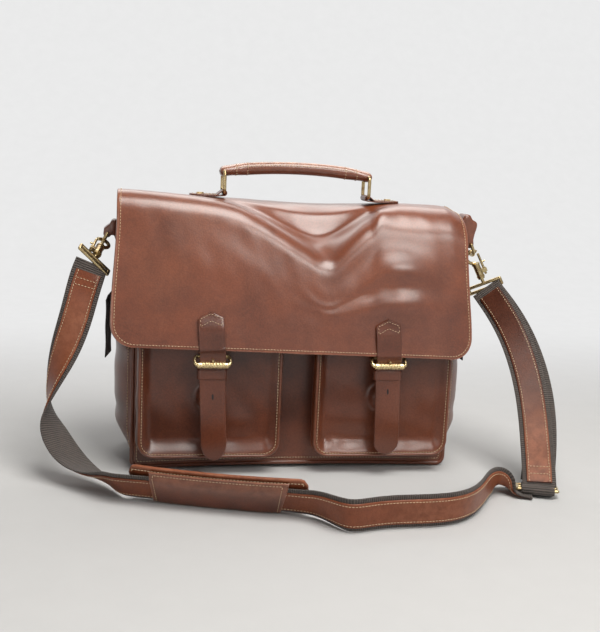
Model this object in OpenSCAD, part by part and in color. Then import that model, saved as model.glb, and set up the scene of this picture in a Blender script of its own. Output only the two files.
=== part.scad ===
/* [Body] */
// Width of the front and back panels over their piping
panel_w = 366; // [320:1:400]
// Height of the back panel and of the gussets
panel_h = 284; // [260:1:320]
// Depth of the body over the piping of both panels
body_d = 112; // [90:1:130]
// Thickness of the body leather
leather_t = 2.4; // [1.8:0.1:3]
// Diameter of the piping in the body seams
piping_d = 5; // [4:0.5:6]
// Radius of the lower corners of the panels
corner_r = 8; // [6:1:14]
// How far each gusset bulges past the panels
gusset_bulge = 17; // [8:1:22]
// How deep the top edge of the front panel is scooped
scoop_depth = 40; // [25:1:45]
// Thickness of the board in the base
board_t = 2; // [1.5:0.5:3]
// Thickness of the lining
lining_t = 0.8; // [0.6:0.1:1.2]

/* [Pockets] */
// Width of one pocket over its piping
pocket_w = 157; // [130:1:165]
// Gap between the two pockets
pocket_gap = 37; // [20:1:48]
// Height of a pocket's bottom above the base
pocket_z = 20; // [12:1:30]
// Height of a pocket
pocket_h = 166; // [140:1:170]
// Depth of a pocket
pocket_d = 24; // [18:1:26]
// Radius of the lower corners of a pocket
pocket_r = 16; // [10:1:24]
// Diameter of the piping round a pocket
pocket_piping_d = 4.4; // [3:0.2:5]

/* [Flap] */
// Width of the flap
flap_w = 398; // [380:1:420]
// Thickness of the flap, two layers of leather
flap_t = 3; // [2:0.2:3.4]
// How far the front fold of the flap stands out past the front panel
fold_out = 10; // [8:1:14]
// Height of the front fold below the top of the back panel
fold_drop = 8; // [4:1:12]
// Height of the crown of the flap above its front fold
crown_h = 27; // [20:1:34]
// Length of the front of the flap below the fold
front_l = 137; // [120:1:150]
// Slope of the front of the flap
front_tilt = 12.2; // [11:0.1:15]
// Radius of the lower corners of the flap
flap_r = 24; // [12:1:34]
// Depth of the sag in the front of the crown
sag_depth = 38; // [10:1:42]
// Place of the sag across the flap
sag_x = 26; // [0:1:30]
// How far the sag spreads to the left along the front fold
sag_left = 100; // [60:1:110]
// How far the sag spreads to the right along the front fold
sag_right = 58; // [50:1:70]
// Thickness of the black side wings
wing_t = 1.2; // [0.8:0.1:1.6]

/* [Closures] */
// Width of a closure strap
strap_w = 28; // [24:1:30]
// Thickness of a closure strap
strap_t = 2.4; // [1.8:0.1:2.8]
// Length of the closure strap that is sewn on the flap
upper_l = 46; // [36:1:56]
// Height of the strap's tip above the base
tip_z = 26; // [22:1:40]
// Width of a buckle frame
buckle_w = 42; // [38:1:46]
// Diameter of the buckle wire
buckle_d = 4; // [3:0.2:4.4]
// Outer diameter of a buckle roller
roller_d = 7.5; // [7:0.1:8]
// Height of a keeper loop
keeper_h = 11; // [8:1:14]
// Gap between the keeper loop and the snap below it
snap_gap = 16; // [10:1:24]
// Diameter of the snap socket
snap_d = 18; // [14:1:20]

/* [Handle] */
// Distance between the two handle rings
ring_span = 166; // [150:1:190]
// Height of a handle ring between its bars
ring_h = 24; // [20:1:30]
// Width of a handle ring between its posts
ring_w = 30; // [28:1:36]
// Diameter of the ring wire, also of the D-rings
ring_d = 4; // [3:0.2:4.4]
// Diameter of the rolled grip
grip_d = 14; // [12:1:18]
// Rise of the grip between its ends
grip_rise = 9; // [5:1:14]

/* [Shoulder strap] */
// Width of the shoulder strap
web_w = 36; // [30:1:40]
// Thickness of the shoulder strap with its leather strip
web_t = 3.8; // [3:0.1:4.4]
// Thickness of the strap's doubled back layer
return_t = 2; // [1.6:0.1:2.6]
// Length of the pad's sleeve
sleeve_l = 134; // [110:1:140]
// Length of the pad's backing
pad_l = 180; // [150:1:184]
// Width of the pad's backing
pad_w = 46; // [42:1:50]
// Thickness of the pad's backing
pad_t = 4; // [3:0.5:5]
// Radius of a D-ring's bow
bow_r = 15; // [13:0.5:17]

/* [Hidden] */
$fn = 48;
LEATHER = "#7d4528";
DARK = "#4d2e20";
BLACK = "#18181a";
BRASS = "#c9a452";
WEBBING = "#43352b";

// clearances: touching pieces, moving pieces, a pin in its bore
touch = 0.05;
clear = 0.4;
pin_gap = 0.08;

// body
pipe_r = piping_d / 2;
front_y = -body_d / 2;
back_y = body_d / 2;
seam_x = panel_w / 2 - pipe_r;
seam_y = body_d / 2 - pipe_r;
pipe_z = pipe_r + 0.5;
gusset_y = body_d / 2 - piping_d;
tray_h = corner_r + piping_d;
lining_z = leather_t + board_t;
tray_in = seam_x - leather_t / 2 - corner_r;
lining_x = tray_in + sqrt(corner_r * corner_r - pow(corner_r - board_t, 2)) - clear;
lining_y = gusset_y - clear / 2;
lining_h = panel_h - 6 - lining_z;
panel_low = pipe_z + pipe_r;
front_h = panel_h - panel_low - 4;
scoop_half = panel_w / 2 - 33;
scoop_r = (scoop_half * scoop_half + scoop_depth * scoop_depth) / (2 * scoop_depth);
side_x = seam_x + leather_t / 2 + gusset_bulge;

// pockets
pocket_x = (pocket_w + pocket_gap) / 2;
panel_face = -(seam_y + leather_t / 2);
pocket_y = front_y - pocket_d;
pocket_pipe_r = pocket_piping_d / 2;

// flap: the welt is the back hinge, the fold is the front hinge
hinge_y = seam_y;
hinge_z = panel_h + pipe_r;
fold_y = front_y - fold_out;
fold_z = panel_h - fold_drop;
rear_y = hinge_y - pipe_r - clear;
crown_a0 = acos(rear_y / -fold_y);
crown_z = fold_z + crown_h;
hem_y = fold_y - front_l * sin(front_tilt);
hem_z = fold_z - front_l * cos(front_tilt);
fold_gap = 0.3;
welt_l = flap_w - 8;

// wings: their back edge and front edge, and how far they lean in at the top and out at the bottom
wing_back = fold_y + 34;
wing_front = fold_y + 18;
wing_in = 3;
wing_out = 2;
wing_low = hem_z - 12;

// closures: the strap turns at the hem, runs over the hinge bar and behind the roller
socket_t = 5.5;
stud_plate_t = 1.2;
stud_d = 6;
socket_bore = 9.6;
socket_depth = 2.5;
stud_in = 2.1;
snap_y = pocket_y - socket_t;
tab_back = snap_y - 0.9 - stud_plate_t;
tab_front = tab_back - strap_t;
strap_front = tab_front - strap_t;
swing_y = hem_y - strap_t * cos(front_tilt);
swing_z = hem_z - 0.4;
buckle_r = buckle_d / 2;
loop_r = buckle_r + pin_gap + strap_t;
bar_y = tab_back + loop_r - strap_t - 1.4;
bar_z = hem_z - 5.5;
roller_y = strap_front - clear - roller_d / 2;
roller_z = bar_z - 7.5;
bend_z = roller_z + 2;
keeper_z = roller_z - roller_d / 2 - 2 - keeper_h;
keeper_t = 1.8;
snap_z = keeper_z - snap_gap - snap_d / 2;
tab_w = strap_w - 2;
tab_low = snap_z - snap_d / 2 - 7;
house_h = 7;
tip_l = 13;
arm_x = buckle_w / 2 - buckle_r;
prong_d = 2.4;
prong_w = 4;
prong_slot = prong_w + 3 * clear;
prong_hole = prong_d + 4 * clear;
prong_tip = [roller_y - 3, roller_z + roller_d / 2 + prong_d / 2 + clear - 0.5];
prong_l = norm([prong_tip[0] - bar_y, prong_tip[1] - bar_z]);
prong_turn = 90 + atan2(bar_z - prong_tip[1], bar_y - prong_tip[0]);
arm_turn = 90 + atan2(bar_z - roller_z, bar_y - roller_y);

// handle
ring_r = ring_d / 2;
anchor_t = 2.4;
anchor_w = 24;
anchor_in = 15;
anchor_out = 38;
anchor_z = crown_z + 0.1;
bar_low = anchor_z + anchor_t + pin_gap + ring_r;
bar_high = bar_low + ring_h;
anchor_loop_r = ring_r + pin_gap + anchor_t;
grip_loop_r = ring_r + pin_gap + 3.4;
grip_loop_w = 22;
open_gap = 0.3;
rivet_d = 8;
rivet_h = 1.8;
rivet_x = ring_span / 2 + 26;

// side fittings
chape_w = 2 * (bow_r - ring_r) - 1;
chape_t = 2.4;
chape_gap = 8.4;
chape_in = side_x + 0.2;
chape_out = chape_in + chape_t + chape_gap;
chape_top = panel_h + 3;
chape_low = panel_h - 34;
bar_x = chape_out + chape_t / 2;
d_bar_z = panel_h - 26;
chape_loop_r = ring_r + pin_gap + chape_t;
hook_r = 7.6;
hook_d = 4;
hook_drop = 3;
barrel_d = 8.4;
barrel_l = 20;
barrel_z = hook_drop + hook_r + 1;
eye_h = 7;
eye_stem = 7;
eye_z = barrel_z + barrel_l + eye_stem + eye_h;
stem_d = 4;
stem_head_d = 6;
stem_head_h = 4;
stem_in = 4;
collar_d = barrel_d + 1.2;
collar_h = 2;
knob_d = 2;
knob_l = 4.5;
bolt_d = 3;
bolt_x = hook_r - 0.2;
bolt_travel = 6;
lug_h = 5;
lug_z = barrel_z + 9;
eye_w = web_w + 4;
eye_d = 4;

// a D-ring hangs turned out by the first angle, its hook sits round the bow by the second angle and
// the clasp points to the third
left_pose = [26, -45, -66];
right_pose = [28, 0, 0];

// shoulder strap: centre of the strap, and the direction across it, from the left eye to the slider
strap_route = [
  [[-225, -53, 230], [0.71, 0.14, -0.69]],
  [[-230, -56, 217], [0.78, -0.1, -0.55]],
  [[-235, -60, 199], [0.86, -0.22, -0.45]],
  [[-240, -62, 178], [0.9, -0.2, -0.38]],
  [[-247, -61, 154], [0.93, -0.15, -0.36]],
  [[-257, -60, 127], [0.72, -0.65, -0.25]],
  [[-266, -60, 102], [0.4, -0.9, -0.1]],
  [[-270, -63, 78], [0.05, -1, 0]],
  [[-268, -70, 60], [-0.4, -0.9, -0.15]],
  [[-260, -80, 44], [-0.65, -0.7, -0.25]],
  [[-247, -92, 28], [-0.72, -0.66, -0.1]],
  [[-230, -106, 18], [-0.55, -0.82, 0.1]],
  [[-213, -126, 16], [-0.4, -0.85, 0.35]],
  [[-203, -142, 17.5], [-0.25, -0.65, 0.7]],
  [[-194, -154, 18], [-0.16, -0.52, 0.84]],
  [[-182, -157.7, 18], [-0.16, -0.52, 0.84]],
  [[-96, -184.4, 18], [-0.16, -0.52, 0.84]],
  [[-20, -208, 18], [-0.16, -0.52, 0.84]],
  [[-6, -212.4, 18], [-0.16, -0.5, 0.85]],
  [[7, -228, 18.5], [-0.18, -0.32, 0.92]],
  [[18, -246, 18.5], [-0.08, -0.22, 0.97]],
  [[28, -250, 18.5], [-0.02, -0.2, 0.98]],
  [[40, -247, 18.5], [0, -0.18, 0.98]],
  [[62, -240, 18.5], [0, -0.17, 0.98]],
  [[92, -240, 18.5], [0, -0.17, 0.98]],
  [[122, -239, 18.5], [0, -0.17, 0.98]],
  [[146, -230, 18.5], [0.1, -0.17, 0.98]],
  [[165, -212, 18.5], [0.1, -0.1, 0.98]],
  [[180, -190, 18.5], [0.05, 0, 1]],
  [[193, -170, 18.5], [0, -0.15, 0.98]],
  [[204, -158, 17.5], [-0.1, -0.45, 0.88]],
  [[214, -151, 14.5], [-0.3, -0.7, 0.6]],
  [[223, -149, 8.4], [-0.4, -0.88, 0.25]],
  [[232, -150, 3.4], [-0.5, -0.86, 0.04]],
  [[242, -153, 2.4], [-0.6, -0.8, 0]],
  [[250, -157, 2.4], [-0.7, -0.7, 0]]
];
// the front layer from the slider up to the right eye
front_route = [
  [[254, -163, 13], [-0.95, 0.3, 0]],
  [[257, -152, 26], [-0.94, 0.3, 0]],
  [[260, -136, 48], [-0.93, 0.28, 0]],
  [[264, -114, 78], [-0.93, 0.28, 0]],
  [[266, -88, 112], [-0.93, 0.3, 0]],
  [[263, -54, 150], [-0.9, 0.4, -0.1]],
  [[252, -27, 181], [-0.85, 0.42, -0.3]],
  [[237, -3, 206], [-0.8, 0.42, -0.43]]
];
// the back layer from the slider's middle bar up to the right eye
back_route = [
  [[257, -150, 13], [-0.95, 0.3, 0]],
  [[262, -140, 28], [-0.94, 0.3, 0]],
  [[270, -122, 54], [-0.93, 0.28, 0]],
  [[277, -96, 86], [-0.93, 0.28, 0]],
  [[278, -68, 118], [-0.93, 0.3, 0]],
  [[272, -38, 152], [-0.9, 0.4, -0.1]],
  [[258, -16, 180], [-0.85, 0.42, -0.3]],
  [[241.2, 2.4, 203], [-0.8, 0.42, -0.43]]
];
pad_dir = [0.955, -0.297, 0];
pad_wide = [-0.16, -0.52, 0.84];
pad_mid = [-96, -184.4, 18];
slider_at = [254, -157, 8.6];
slider_dir = [0.95, -0.3, 0];
slider_d = 3.6;
slider_step = 7;
slider_w = web_w + 6;
sleeve_w = pad_w - 4;

function lerp(a, b, t) = a + (b - a) * t;
function ease(t) = t <= 0 ? 0 : t >= 1 ? 1 : t * t * (3 - 2 * t);
function unit(v) = v / norm(v);

// the sag: how far the flap drops at x, where near is 1 at the front fold and 0 at the back
function sag(x, near) =
  let (half = (x < sag_x ? sag_left : sag_right) * lerp(0.55, 1, near), d = abs(x - sag_x) / half)
  d >= 1 ? 0 : sag_depth * near * lerp(0.5 + 0.5 * cos(180 * d), 1 - d, 0.5);

// outer face of the flap's top: along 0 is the welt, along 1 the front fold
function crown_at(x, along) =
  let (a = lerp(crown_a0, 180, along), y = -fold_y * cos(a))
  [x, y, fold_z + crown_h * sin(a) - sag(x, ease((hinge_y - y) / (hinge_y - fold_y)))];
// inner face of the same: its rear edge is turned down to lie in front of the welt
function crown_in(x, along) =
  let (a = lerp(crown_a0, 180, along), n = unit([crown_h * cos(a), -fold_y * sin(a)]))
  along == 0 ? [x, rear_y, hinge_z + 0.6] : crown_at(x, along) - flap_t * [0, n[0], n[1]];

// height under the crown at y, clear of it
function under_crown(y) = fold_z + crown_h * sqrt(1 - pow(y / fold_y, 2)) - 1.2 * flap_t - clear;

// outer face of the flap's front: down 0 is the fold, down 1 the hem
function front_at(x, down, depth) =
  [
    x,
    lerp(fold_y, hem_y, down) + depth * cos(front_tilt),
    lerp(fold_z, hem_z, down) - sag(x, 1) * (1 - ease(down / 0.6)) - depth * sin(front_tilt)
  ];
function front_half(down) =
  let (left = front_l * (1 - down))
  flap_w / 2 - (left >= flap_r ? 0 : flap_r - sqrt(flap_r * flap_r - pow(flap_r - left, 2)));

// a closed sheet between two faces, each a function of u and v from 0 to 1
module sheet(face, back, us, vs) {
  nu = len(us);
  nv = len(vs);
  count = nu * nv;
  points = concat([for (v = vs) for (u = us) face(u, v)], [for (v = vs) for (u = us) back(u, v)]);
  rim = concat(
    [for (i = [0:nu - 1]) i],
    [for (j = [1:nv - 1]) j * nu + nu - 1],
    [for (i = [nu - 2:-1:0]) (nv - 1) * nu + i],
    [for (j = [nv - 2:-1:1]) j * nu]
  );
  last = len(rim);
  faces = concat(
    [for (j = [0:nv - 2]) for (i = [0:nu - 2]) for (t = cell(j * nu + i, nu)) t],
    [for (j = [0:nv - 2]) for (i = [0:nu - 2]) for (t = cell(j * nu + i, nu)) turned(t, count)],
    [for (k = [0:last - 1]) [rim[k], rim[k] + count, rim[(k + 1) % last]]],
    [for (k = [0:last - 1]) [rim[(k + 1) % last], rim[k] + count, rim[(k + 1) % last] + count]]
  );
  polyhedron(points, faces);
}
function cell(a, row) = [[a, a + 1, a + row + 1], [a, a + row + 1, a + row]];
function turned(t, shift) = [t[2] + shift, t[1] + shift, t[0] + shift];
function steps(n) = [for (i = [0:n]) i / n];

// a flat strap swept along a route of points and width directions
function spline(p, q, r, s, t) =
  0.5 * (2 * q + (r - p) * t + (2 * p - 5 * q + 4 * r - s) * t * t + (3 * q - p - 3 * r + s) * t * t * t);
function route_row(route, k, i, t) =
  let (n = len(route) - 1)
  spline(route[max(i - 1, 0)][k], route[i][k], route[min(i + 1, n)][k], route[min(i + 2, n)][k], t);
function route_rings(route) = concat(
  [for (i = [0:len(route) - 2]) for (t = [0, 0.5]) [route_row(route, 0, i, t), route_row(route, 1, i, t)]],
  [route[len(route) - 1]]
);
function flat_section(wide, thick) =
  let (w = wide / 2, h = thick / 2, c = thick / 4)
  [[w, -c], [w, c], [w - c, h], [c - w, h], [-w, c], [-w, -c], [c - w, -h], [w - c, -h]];
function ring_points(rings, i, section) =
  let (
    n = len(rings) - 1,
    along = unit(rings[min(i + 1, n)][0] - rings[max(i - 1, 0)][0]),
    across = unit(rings[i][1] - along * (rings[i][1] * along)),
    out = cross(along, across)
  )
  [for (s = section) rings[i][0] + across * s[0] + out * s[1]];
module flat_strap(route, wide, thick) {
  rings = route_rings(route);
  section = flat_section(wide, thick);
  n = len(section);
  last = len(rings) - 1;
  points = [for (i = [0:last]) each ring_points(rings, i, section)];
  faces = concat(
    [for (i = [0:last - 1]) for (k = [0:n - 1]) [i * n + k, (i + 1) * n + k, i * n + (k + 1) % n]],
    [for (i = [0:last - 1]) for (k = [0:n - 1])
      [i * n + (k + 1) % n, (i + 1) * n + k, (i + 1) * n + (k + 1) % n]],
    [for (k = [1:n - 2]) [0, k, k + 1]],
    [for (k = [1:n - 2]) [last * n, last * n + k + 1, last * n + k]]
  );
  polyhedron(points, faces);
}

// an outline with a straight top and round lower corners, its bottom at zero
module pouch_outline(w, h, r) {
  translate([-w / 2, r]) square([w, h - r]);
  translate([r - w / 2, 0]) square([w - 2 * r, r]);
  intersection() {
    for (s = [-1, 1]) translate([s * (w / 2 - r), r]) circle(r);
    translate([-w / 2, 0]) square([w, r]);
  }
}
// stands an outline up in the XZ plane, with its thickness towards +Y
module upright(y, thick) {
  translate([0, y + thick, 0]) rotate([90, 0, 0]) linear_extrude(thick) children();
}
// a rod along the sides and bottom of such an outline
module pouch_rod(w, h, r, d) {
  for (s = [-1, 1]) {
    translate([s * w / 2, 0, r]) cylinder(d = d, h = h - r);
    translate([s * (w / 2 - r), 0, r]) rotate([90, s > 0 ? 0 : 90, 0]) rotate([0, 0, -90])
      rotate_extrude(angle = 90) translate([r, 0]) circle(d = d);
  }
  translate([r - w / 2, 0, 0]) rotate([0, 90, 0]) cylinder(d = d, h = w - 2 * r);
}
// a bar along X or along Y, centred
module bar_x_axis(d, l) { rotate([0, 90, 0]) cylinder(d = d, h = l, center = true); }
module bar_y_axis(d, l) { rotate([90, 0, 0]) cylinder(d = d, h = l, center = true); }

// body
module back_panel() {
  color(LEATHER) translate([0, 0, panel_low]) upright(seam_y - leather_t / 2, leather_t)
    pouch_outline(panel_w - 2 * piping_d, panel_h - panel_low, corner_r - pipe_r);
}
module front_panel() {
  color(DARK) translate([0, 0, panel_low]) upright(panel_face, leather_t) difference() {
    pouch_outline(panel_w - 2 * piping_d, front_h, corner_r - pipe_r);
    translate([0, front_h - scoop_depth + scoop_r]) circle(scoop_r, $fn = 96);
  }
}
module gusset(side) {
  function bulge(u, v) = gusset_bulge * (1 - pow(2 * u - 1, 2)) * ease(v / 0.14);
  function at(u, v, x) =
    [side * (x + bulge(u, v)), side * lerp(-gusset_y, gusset_y, u), lerp(tray_h, panel_h, v)];
  rows = [0, 0.03, 0.06, 0.09, 0.12, 0.16, 0.3, 0.65, 1];
  color(LEATHER) sheet(
    function(u, v) at(u, v, seam_x + leather_t / 2),
    function(u, v) at(u, v, seam_x - leather_t / 2), steps(12), rows);
}
module left_gusset() { gusset(-1); }
module right_gusset() { gusset(1); }
module bottom_panel() {
  w = 2 * seam_x + leather_t;
  color(DARK) upright(-gusset_y, 2 * gusset_y) difference() {
    pouch_outline(w, tray_h, corner_r + leather_t);
    translate([0, leather_t]) pouch_outline(w - 2 * leather_t, tray_h, corner_r);
  }
}
module base_board() {
  w = 2 * (tray_in - 2);
  depth = 2 * (gusset_y - 1);
  color(BLACK) translate([-w / 2, -depth / 2, leather_t]) cube([w, depth, board_t]);
}
module lining() {
  color(BLACK) difference() {
    translate([-lining_x, -lining_y, lining_z]) cube([2 * lining_x, 2 * lining_y, lining_h]);
    translate([lining_t - lining_x, lining_t - lining_y, lining_z + lining_t])
      cube([2 * (lining_x - lining_t), 2 * (lining_y - lining_t), lining_h]);
    translate([0, -lining_y, lining_z + lining_h - scoop_depth + scoop_r]) rotate([90, 0, 0])
      cylinder(r = scoop_r, h = lining_y, center = true, $fn = 96);
  }
}
module panel_piping(y) {
  translate([0, y, pipe_z]) pouch_rod(2 * seam_x, panel_h - pipe_z, corner_r, piping_d);
}
module front_piping() { color(LEATHER) panel_piping(-seam_y); }
module back_piping() { color(LEATHER) panel_piping(seam_y); }
module flap_welt() { color(LEATHER) translate([0, hinge_y, hinge_z]) bar_x_axis(piping_d, welt_l); }

// pockets
module pocket_front(side) {
  inset = pocket_piping_d;
  color(LEATHER) translate([side * pocket_x, 0, pocket_z + inset]) upright(pocket_y, leather_t)
    pouch_outline(pocket_w - 2 * inset, pocket_h - inset, pocket_r - pocket_pipe_r);
}
module left_pocket_front() { pocket_front(-1); }
module right_pocket_front() { pocket_front(1); }
module pocket_gusset(side) {
  w = pocket_w - pocket_piping_d + leather_t;
  depth = panel_face - pocket_y - pocket_piping_d;
  low = pocket_z + pocket_pipe_r - leather_t / 2;
  color(DARK) translate([side * pocket_x, 0, low]) upright(pocket_y + pocket_piping_d, depth) difference() {
    pouch_outline(w, pocket_z + pocket_h - low, pocket_r + leather_t / 2);
    translate([0, leather_t]) pouch_outline(w - 2 * leather_t, 2 * pocket_h, pocket_r - leather_t / 2);
  }
}
module left_pocket_gusset() { pocket_gusset(-1); }
module right_pocket_gusset() { pocket_gusset(1); }
module pocket_piping(side) {
  color(LEATHER) translate([side * pocket_x, pocket_y + pocket_pipe_r, pocket_z + pocket_pipe_r])
    pouch_rod(pocket_w - pocket_piping_d, pocket_h - pocket_pipe_r, pocket_r, pocket_piping_d);
}
module left_pocket_piping() { pocket_piping(-1); }
module right_pocket_piping() { pocket_piping(1); }
module snap_socket(side) {
  color(BRASS) translate([side * pocket_x, pocket_y, snap_z]) rotate([90, 0, 0]) difference() {
    cylinder(d = snap_d, h = socket_t);
    translate([0, 0, socket_t - socket_depth]) cylinder(d = socket_bore, h = socket_depth + 1);
  }
}
module left_snap_socket() { snap_socket(-1); }
module right_snap_socket() { snap_socket(1); }

// flap
module flap_top() {
  end = 1 - fold_gap / (crown_h * (180 - crown_a0) * PI / 180);
  across = [for (i = [0:32]) lerp(-flap_w / 2, flap_w / 2, i / 32)];
  color(LEATHER) sheet(
    function(u, v) crown_at(u, v * end), function(u, v) crown_in(u, v * end), across, steps(16));
}
module flap_front() {
  start = fold_gap / front_l;
  rows = concat(
    [for (i = [0:8]) lerp(start, 0.6, i / 8)],
    [for (i = [0:6]) 1 - flap_r * pow(1 - i / 6, 2) / front_l]);
  color(LEATHER) sheet(
    function(u, v) front_at(u * front_half(v), v, 0),
    function(u, v) front_at(u * front_half(v), v, flap_t), [for (i = [0:32]) i / 16 - 1], rows);
}
module wing(side) {
  function at(u, v, depth) =
    [
      side * (flap_w / 2 + lerp(-wing_in, u * wing_out, v) - depth),
      lerp(wing_back, lerp(wing_front, fold_y, v), u),
      lerp(under_crown(lerp(wing_back, wing_front, u)), wing_low, v)
    ];
  color(BLACK) sheet(
    function(u, v) at(side > 0 ? 1 - u : u, v, 0), function(u, v) at(side > 0 ? 1 - u : u, v, wing_t),
    steps(4), steps(4));
}
module left_wing() { wing(-1); }
module right_wing() { wing(1); }

// closures
module on_front(side) { translate([side * pocket_x, fold_y, fold_z]) rotate([-front_tilt, 0, 0]) children(); }
module upper_strap(side) {
  w = strap_w / 2;
  color(LEATHER) on_front(side) translate([0, 0, -front_l]) upright(-strap_t, strap_t)
    polygon([[-w, 0], [w, 0], [w, upper_l - house_h], [0, upper_l], [-w, upper_l - house_h]]);
}
module left_upper_strap() { upper_strap(-1); }
module right_upper_strap() { upper_strap(1); }
module lower_strap(side) {
  w = strap_w / 2;
  color(LEATHER) translate([side * pocket_x, 0, 0]) difference() {
    intersection() {
      rotate([90, 0, 90]) linear_extrude(strap_w, center = true) polygon([
        [swing_y, swing_z - clear], [strap_front, bend_z], [strap_front, 0], [tab_front, 0],
        [tab_front, bend_z - 1], [swing_y + strap_t * 1.12, swing_z - clear]]);
      upright(swing_y - strap_t, 5 * strap_t)
        polygon([[-w, swing_z], [w, swing_z], [w, tip_z + tip_l], [w * 0.62, tip_z + tip_l * 0.3], [0, tip_z],
          [-w * 0.62, tip_z + tip_l * 0.3], [-w, tip_z + tip_l]]);
    }
    prong_axis() cylinder(d = prong_hole, h = 2 * prong_l, center = true);
  }
}
module left_lower_strap() { lower_strap(-1); }
module right_lower_strap() { lower_strap(1); }
// places its children on the prong, running from the hinge bar to the roller
module prong_axis() { translate([0, bar_y, bar_z]) rotate([prong_turn, 0, 0]) children(); }
module buckle_frame(side) {
  color(BRASS) translate([side * pocket_x, 0, 0]) {
    translate([0, bar_y, bar_z]) bar_x_axis(buckle_d, buckle_w);
    translate([0, roller_y, roller_z]) bar_x_axis(buckle_d, buckle_w);
    for (s = [-1, 1]) translate([s * arm_x, bar_y, bar_z]) rotate([arm_turn, 0, 0])
      cylinder(d = buckle_d - 0.4, h = norm([bar_y - roller_y, bar_z - roller_z]));
  }
}
module left_buckle_frame() { buckle_frame(-1); }
module right_buckle_frame() { buckle_frame(1); }
module roller(side) {
  color(BRASS) translate([side * pocket_x, roller_y, roller_z]) difference() {
    bar_x_axis(roller_d, 2 * (arm_x - buckle_r - clear));
    bar_x_axis(buckle_d + 2 * pin_gap, buckle_w);
  }
}
module left_roller() { roller(-1); }
module right_roller() { roller(1); }
module prong(side) {
  color(BRASS) translate([side * pocket_x, 0, 0]) difference() {
    union() {
      prong_axis() cylinder(d = prong_d, h = prong_l);
      translate([0, bar_y, bar_z]) bar_x_axis(2 * (loop_r - 2 * clear), prong_w);
    }
    translate([0, bar_y, bar_z]) bar_x_axis(buckle_d + 2 * pin_gap, 2 * prong_w);
  }
}
module left_prong() { prong(-1); }
module right_prong() { prong(1); }
module keeper(side) {
  in_w = strap_w + 2 * touch;
  in_d = 2 * strap_t + 2 * touch;
  color(DARK) translate([side * pocket_x, (strap_front + tab_back) / 2, keeper_z]) difference() {
    translate([-in_w / 2 - keeper_t, -in_d / 2 - keeper_t, 0])
      cube([in_w + 2 * keeper_t, in_d + 2 * keeper_t, keeper_h]);
    translate([-in_w / 2, -in_d / 2, -1]) cube([in_w, in_d, keeper_h + 2]);
  }
}
module left_keeper() { keeper(-1); }
module right_keeper() { keeper(1); }
module under_tab(side) {
  color(DARK) translate([side * pocket_x, 0, 0]) difference() {
    union() {
      translate([-tab_w / 2, tab_front + touch, tab_low]) cube([tab_w, strap_t - touch, bar_z - tab_low]);
      translate([0, bar_y, bar_z]) bar_x_axis(2 * loop_r, tab_w);
    }
    translate([0, bar_y, bar_z]) bar_x_axis(buckle_d + 2 * touch, 2 * tab_w);
    translate([-prong_slot / 2, bar_y - 2 * loop_r, bar_z - 1.4 * loop_r])
      cube([prong_slot, 4 * loop_r, 4 * loop_r]);
  }
}
module left_under_tab() { under_tab(-1); }
module right_under_tab() { under_tab(1); }
module snap_stud(side) {
  color(BRASS) translate([side * pocket_x, tab_back, snap_z]) rotate([-90, 0, 0]) {
    cylinder(d = snap_d - 2, h = stud_plate_t);
    cylinder(d = stud_d, h = snap_y - tab_back + stud_in);
  }
}
module left_snap_stud() { snap_stud(-1); }
module right_snap_stud() { snap_stud(1); }

// handle
module anchor(side) {
  color(LEATHER) translate([side * ring_span / 2, 0, anchor_z]) difference() {
    union() {
      translate([side > 0 ? -anchor_in : -anchor_out, -anchor_w / 2, 0])
        cube([anchor_in + anchor_out, anchor_w, anchor_t]);
      translate([0, 0, bar_low - anchor_z]) intersection() {
        bar_y_axis(2 * anchor_loop_r, anchor_w);
        translate([-2 * anchor_loop_r, -anchor_w, -anchor_t]) cube([4 * anchor_loop_r, 2 * anchor_w, ring_h]);
      }
    }
    translate([0, 0, bar_low - anchor_z]) bar_y_axis(ring_d + 2 * pin_gap, anchor_w + 2);
  }
}
module left_anchor() { anchor(-1); }
module right_anchor() { anchor(1); }
module handle_rivets() {
  color(BRASS) for (s = [-1, 1]) translate([s * rivet_x, 0, anchor_z + anchor_t])
    cylinder(d = rivet_d, h = rivet_h);
}
module handle_ring(side) {
  color(BRASS) translate([side * ring_span / 2, 0, bar_low]) {
    for (z = [0, ring_h]) translate([0, 0, z]) bar_y_axis(ring_d, ring_w);
    for (s = [-1, 1]) translate([0, s * ring_w / 2, 0]) {
      cylinder(d = ring_d, h = ring_h);
      sphere(d = ring_d);
      translate([0, 0, ring_h]) sphere(d = ring_d);
    }
  }
}
module left_handle_ring() { handle_ring(-1); }
module right_handle_ring() { handle_ring(1); }
module handle_grip() {
  half = ring_span / 2;
  r = (half * half + grip_rise * grip_rise) / (2 * grip_rise);
  lift = 2;
  a = asin(half / r);
  color(LEATHER) difference() {
    union() {
      translate([0, 0, bar_high + lift + grip_rise - r]) rotate([90, 0, 0]) rotate([0, 0, 90 - a])
        rotate_extrude(angle = 2 * a, $fn = 64) translate([r, 0]) circle(d = grip_d, $fn = 32);
      for (s = [-1, 1]) translate([s * half, 0, bar_high]) bar_y_axis(2 * grip_loop_r, grip_loop_w);
    }
    translate([-half, 0, bar_high]) bar_y_axis(ring_d + 2 * pin_gap, ring_w);
    translate([half, 0, bar_high]) bar_y_axis(ring_d + 2 * open_gap, ring_w);
  }
}

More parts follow.
